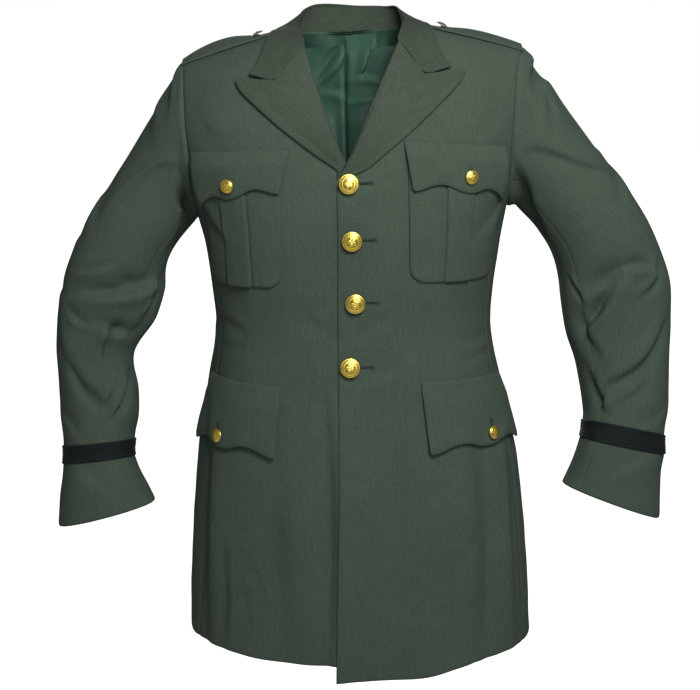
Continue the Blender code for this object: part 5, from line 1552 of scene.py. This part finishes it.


# Twist darkened as painted shade, and the slit as a near-black bead of painted shade.
twist = cloth_material("buttonhole twist darkened as painted shade", TWIST_SHADED_DARK, TWIST_SHADED_LIGHT, 0.00008, 0.50, 0.45)
slit_shade = plain("buttonhole slit painted shade", SLIT_PAINTED_SHADE, tuple(2 * part for part in SLIT_PAINTED_SHADE), 900.0, 0.9)
for number, spot in enumerate(FRONT_BUTTONS, start=1):
    x = np.array([spot.x + HOLE_START, spot.x + HOLE_START + HOLE_LENGTH])
    level = np.full(2, spot.level)
    ends, outward = front_face(LEFT, theta_at_x(x, level), level)
    buttonhole(f"front_buttonhole_{number}", ends, outward, HOLE_RISE, HOLE_LENGTH)
for kind in ("breast", "hip"):
    for word, side in SIDES.items():
        spot = FLAP_BUTTONS[kind][side]
        level = spot.level + np.array([0.0, FLAP_HOLE_LENGTH])
        rise = FLAP_CLEAR + FLAP_CLOTH + FLAP_RISE[kind] + FLAP_HOLE_CLEAR
        ends, outward = laid_on(side, np.full(2, spot.reach), level, rise)
        buttonhole(f"{word}_{kind}_buttonhole", ends, outward, 0.0, FLAP_HOLE_LENGTH)

# ----------------------------------------------------------------------------------------- Buttons
# Stamped gilt shells, domed, on a shank: a roped rim, a wreath of slanted leaves and a five-petalled rose
# in the middle, with the gilding gone dark in the hollows. Each is sewn on by its shank.

LARGE_BUTTON = 0.01145
SMALL_BUTTON = 0.00795
LOOP_BUTTON_PLACE = 4.85
LOOP_BUTTON_TILT = 0.42
LOOP_BUTTON_SUNK = 0.0008
BUTTON_LIFT = 0.0004
FLAP_BUTTON_LIFT = {"breast": 0.0078, "hip": 0.0067}
RELIEF = 0.038
GILT = (1.00, 0.66, 0.07)
GILT_PALE = (1.00, 0.80, 0.20)
TARNISH = (0.070, 0.036, 0.009)
# The loop buttons' tones: a dark one as painted shade on buttons seen edge on, and a pale one as painted
# glints.
LOOP_GILT_SHADE = (0.22, 0.19, 0.13)
LOOP_GILT_GLINT = (0.85, 0.82, 0.72)
GILDING_FROM = -0.30
GILDING_TO = 0.34
BACK_RELIEF = 0.08

# The profile from the shank round the back plate, over the rim and to the crown, as shares of the radius.
Profile = namedtuple("Profile", "radius height")
BUTTON_PROFILE = [
    Profile(0.22, 0.03),
    Profile(0.22, 0.27),
    Profile(0.86, 0.30),
    Profile(0.97, 0.32),
    Profile(1.00, 0.37),
    Profile(0.97, 0.42),
    Profile(0.90, 0.45),
    Profile(0.76, 0.53),
    Profile(0.52, 0.62),
    Profile(0.26, 0.67),
    Profile(0.00, 0.69),
]
FACE_ROW = 5
BUTTON_GRID = {LARGE_BUTTON: (46, 120), SMALL_BUTTON: (34, 96)}


def stamped(radius, turn):
    """The relief of the stamped face, 0 to 1: a roped rim, a wreath of leaves, and a rose round a boss."""
    rope = 0.9 * ease(1 - np.abs(radius - 0.92) / 0.07) * (0.62 + 0.38 * np.sin(40 * turn + 60 * radius))
    ring = 0.55 * ease(1 - np.abs(radius - 0.80) / 0.025)
    leaf = ease(1 - np.abs(radius - 0.66) / 0.12) * (0.35 + 0.65 * np.abs(np.sin(11 * turn + 14 * radius)))
    petal = ease((0.30 + 0.22 * np.abs(np.cos(2.5 * turn)) - radius) / 0.05)
    rose = petal * (0.55 + 0.45 * np.abs(np.cos(2.5 * turn)) ** 0.5) * ease((radius - 0.10) / 0.06)
    boss = ease((0.11 - radius) / 0.04)
    return np.maximum(np.maximum(np.maximum(rope, ring), np.maximum(leaf * 0.8, rose)), boss)


def gilt_material(name, colour, pale):
    """Gilt on brass, dark where the stamped relief is low. A noise mixes its two tones: wear on the front
    and flap buttons, painted glints on the loop buttons.
    """
    material, tree, shader = shaded(name)
    height = node(tree, "ShaderNodeAttribute", "stamped relief", attribute_name="relief")
    place = node(tree, "ShaderNodeTexCoord", "place")
    # This noise mixes the two tones: wear on the gilt buttons, painted glints on the darker loop buttons.
    wear_and_glints = node(tree, "ShaderNodeTexNoise", "wear_and_glints", Vector=place.outputs["Object"], Scale=420.0, Detail=4.0)
    ramp = node(tree, "ShaderNodeMapRange", "gilding left", Value=height.outputs["Fac"])
    ramp.inputs["From Min"].default_value = GILDING_FROM
    ramp.inputs["From Max"].default_value = GILDING_TO
    tones = node(tree, "ShaderNodeMix", "gilt tones", data_type="RGBA")
    tree.links.new(wear_and_glints.outputs[0], tones.inputs["Factor"])
    tones.inputs[6].default_value = (*colour, 1)
    tones.inputs[7].default_value = (*pale, 1)
    mix = node(tree, "ShaderNodeMix", "tarnish in the hollows", data_type="RGBA")
    tree.links.new(ramp.outputs[0], mix.inputs["Factor"])
    mix.inputs[6].default_value = (*TARNISH, 1)
    tree.links.new(tones.outputs[2], mix.inputs[7])
    tree.links.new(mix.outputs[2], shader.inputs["Base Color"])
    bump = node(tree, "ShaderNodeBump", "fine wear", Strength=0.25, Distance=0.0001, Height=wear_and_glints.outputs[0])
    tree.links.new(bump.outputs[0], shader.inputs["Normal"])
    shader.inputs["Metallic"].default_value = 1.0
    shader.inputs["Roughness"].default_value = 0.30
    return material


def button(name, node_name, base, outward, size, material):
    """A domed button turned about its shank, with the relief stamped in its face."""
    outward = outward / np.linalg.norm(outward)
    sideways = np.cross(outward, [0, 0, 1.0])
    if np.linalg.norm(sideways) < 0.5:
        sideways = np.cross(outward, [0, 1.0, 0])
    sideways /= np.linalg.norm(sideways)
    upright = np.cross(outward, sideways)
    rings, spokes = BUTTON_GRID[size]
    face = np.linspace(FACE_ROW, len(BUTTON_PROFILE) - 1, rings)
    rows = np.concatenate([np.linspace(0, FACE_ROW, 14)[:-1], face])
    values = np.array([tuple(row) for row in BUTTON_PROFILE])
    edge_rows = np.stack([np.interp(rows, np.arange(len(values)), values[:, i]) for i in (0, 1)], axis=-1)
    profile = np.where((rows >= FACE_ROW)[:, None], smoothed(values, rows), edge_rows)
    turn = np.linspace(0, 2 * math.pi, spokes + 1)[None, :-1]
    radius, height = profile[:, :1], profile[:, 1:2]
    on_face = ease((rows - FACE_ROW + 0.5) / 0.5)[:, None]
    relief = stamped(radius, turn) * on_face
    height = height + RELIEF * relief
    ring = np.cos(turn)[..., None] * sideways + np.sin(turn)[..., None] * upright
    points = base + ring * (radius * size)[..., None] + outward * (height * size)[..., None]
    index = np.arange(points.shape[0] * points.shape[1]).reshape(points.shape[:2])
    wrapped = np.concatenate([index, index[:, :1]], axis=1)
    faces = cells_of(wrapped)
    flat = points.reshape(-1, 3)
    corner = flat[faces[len(faces) // 2]]
    if np.dot(np.cross(corner[1] - corner[0], corner[3] - corner[0]), outward) < 0:
        faces = faces[:, ::-1]
    uv = np.stack([np.cos(turn) * radius * size, np.sin(turn) * radius * size], axis=-1).reshape(-1, 2)
    shown = np.where(on_face > 0.5, relief, BACK_RELIEF) * np.ones_like(turn)
    made = add_mesh(name, flat, faces, uv, material, shown.ravel())
    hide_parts(node_name)
    return made


gilt = gilt_material("stamped gilt", GILT, GILT_PALE)
# The loop buttons' gilt: a darker copy as painted shade, flecked pale as painted glints.
worn = gilt_material("loop gilt with painted shade and glints", LOOP_GILT_SHADE, LOOP_GILT_GLINT)
for number, spot in enumerate(FRONT_BUTTONS, start=1):
    point, outward = skin(theta_at_x(spot.x, spot.level), spot.level)
    seat = point + outward * (OVERLAP_LIFT + BUTTON_LIFT)
    button(f"gilt_front_button_{number}", f"front_button_{number}", lean(seat), outward, LARGE_BUTTON, gilt)
for word, side in SIDES.items():
    for kind, lift in FLAP_BUTTON_LIFT.items():
        spot = FLAP_BUTTONS[kind][side]
        point, outward = laid_on(side, np.array(spot.reach), np.array(spot.level), np.array(lift))
        button(f"{word}_{kind}_gilt_button", f"{kind}_button_{word}", lean(point), outward, SMALL_BUTTON,
               gilt)
    around = np.array([-0.1, 0.0, 0.1])
    seat = loop_points(side, LOOP_BUTTON_PLACE + around[:, None], 0.5 + around / 2)
    up = directions(seat)[1, 1]
    up = up * np.sign(up[2]) + [side * LOOP_BUTTON_TILT, 0, 0]
    button(f"{word}_loop_gilt_button", f"loop_button_{word}", lean(seat[1, 1] - up * LOOP_BUTTON_SUNK), up,
           SMALL_BUTTON, worn)

# ------------------------------------------------------------------------------------------ Studio
# A plain pale floor well below the hem, a white room, a soft key light above the front, a soft fill before
# it, a soft light behind the coat, and the camera.

FLOOR_LEVEL = -1.9
FLOOR_HALF = 40.0
FLOOR_GLOW = 1.0
ROOM_LIGHT = 0.24
CAMERA_AT = (-0.0048, -1.8, -0.067)
CAMERA_TILT = math.radians(80.2)
CAMERA_LENS = 77.14

points = np.array([[-1, -1, 0], [1, -1, 0], [1, 1, 0], [-1, 1, 0]]) * FLOOR_HALF + [0, 0, FLOOR_LEVEL]
floor_mesh = bpy.data.meshes.new("floor")
floor_mesh.from_pydata(points.tolist(), [], [(0, 1, 2, 3)])
pale = plain("pale floor", (0.90, 0.90, 0.90), (0.93, 0.93, 0.93), 0.6, 0.9)
shader = pale.node_tree.nodes["Principled BSDF"]
shader.inputs["Emission Color"].default_value = (1, 1, 1, 1)
seen = node(pale.node_tree, "ShaderNodeLightPath", "white where it is seen")
pale.node_tree.links.new(math_node(pale.node_tree, "MULTIPLY", seen.outputs["Is Camera Ray"], FLOOR_GLOW),
                         shader.inputs["Emission Strength"])
floor_mesh.materials.append(pale)
floor = bpy.data.objects.new("floor", floor_mesh)
bpy.context.scene.collection.objects.link(floor)

world = bpy.data.worlds.new("white room")
bpy.context.scene.world = world
world.use_nodes = True
room = world.node_tree
background = room.nodes["Background"]
background.inputs["Color"].default_value = (1, 1, 1, 1)
seen = node(room, "ShaderNodeLightPath", "white where it is seen")
strength = math_node(room, "MULTIPLY_ADD", seen.outputs["Is Camera Ray"], 1.0 - ROOM_LIGHT)
room.nodes[-1].inputs[2].default_value = ROOM_LIGHT
room.links.new(strength, background.inputs["Strength"])


def soft_light(name, at, toward, size, power):
    """A square soft light that faces a point."""
    light = bpy.data.lights.new(name, "AREA")
    light.shape = "SQUARE"
    light.size = size
    light.energy = power
    lamp = bpy.data.objects.new(name, light)
    lamp.location = at
    away = np.array(at, float) - np.array(toward, float)
    lamp.rotation_euler = (math.atan2(np.hypot(away[0], away[1]), away[2]), 0,
                           math.atan2(away[0], -away[1]))
    bpy.context.scene.collection.objects.link(lamp)
    return lamp


soft_light("key light", at=(0.33, -1.27, 0.70), toward=(0.0, 0.0, -0.14), size=0.55, power=31.5)
soft_light("front fill", at=(0.3, -2.3, 0.2), toward=(0.0, 0.0, -0.25), size=0.9, power=12.0)
soft_light("back light", at=(-0.5, 2.4, 0.3), toward=(0.0, 0.0, -0.30), size=0.9, power=26.0)

camera = bpy.data.objects.new("camera", bpy.data.cameras.new("camera"))
camera.data.lens = CAMERA_LENS
camera.location = CAMERA_AT
camera.rotation_euler = (CAMERA_TILT, 0, 0)
bpy.context.scene.collection.objects.link(camera)
bpy.context.scene.camera = camera
bpy.context.scene.view_settings.view_transform = "Standard"
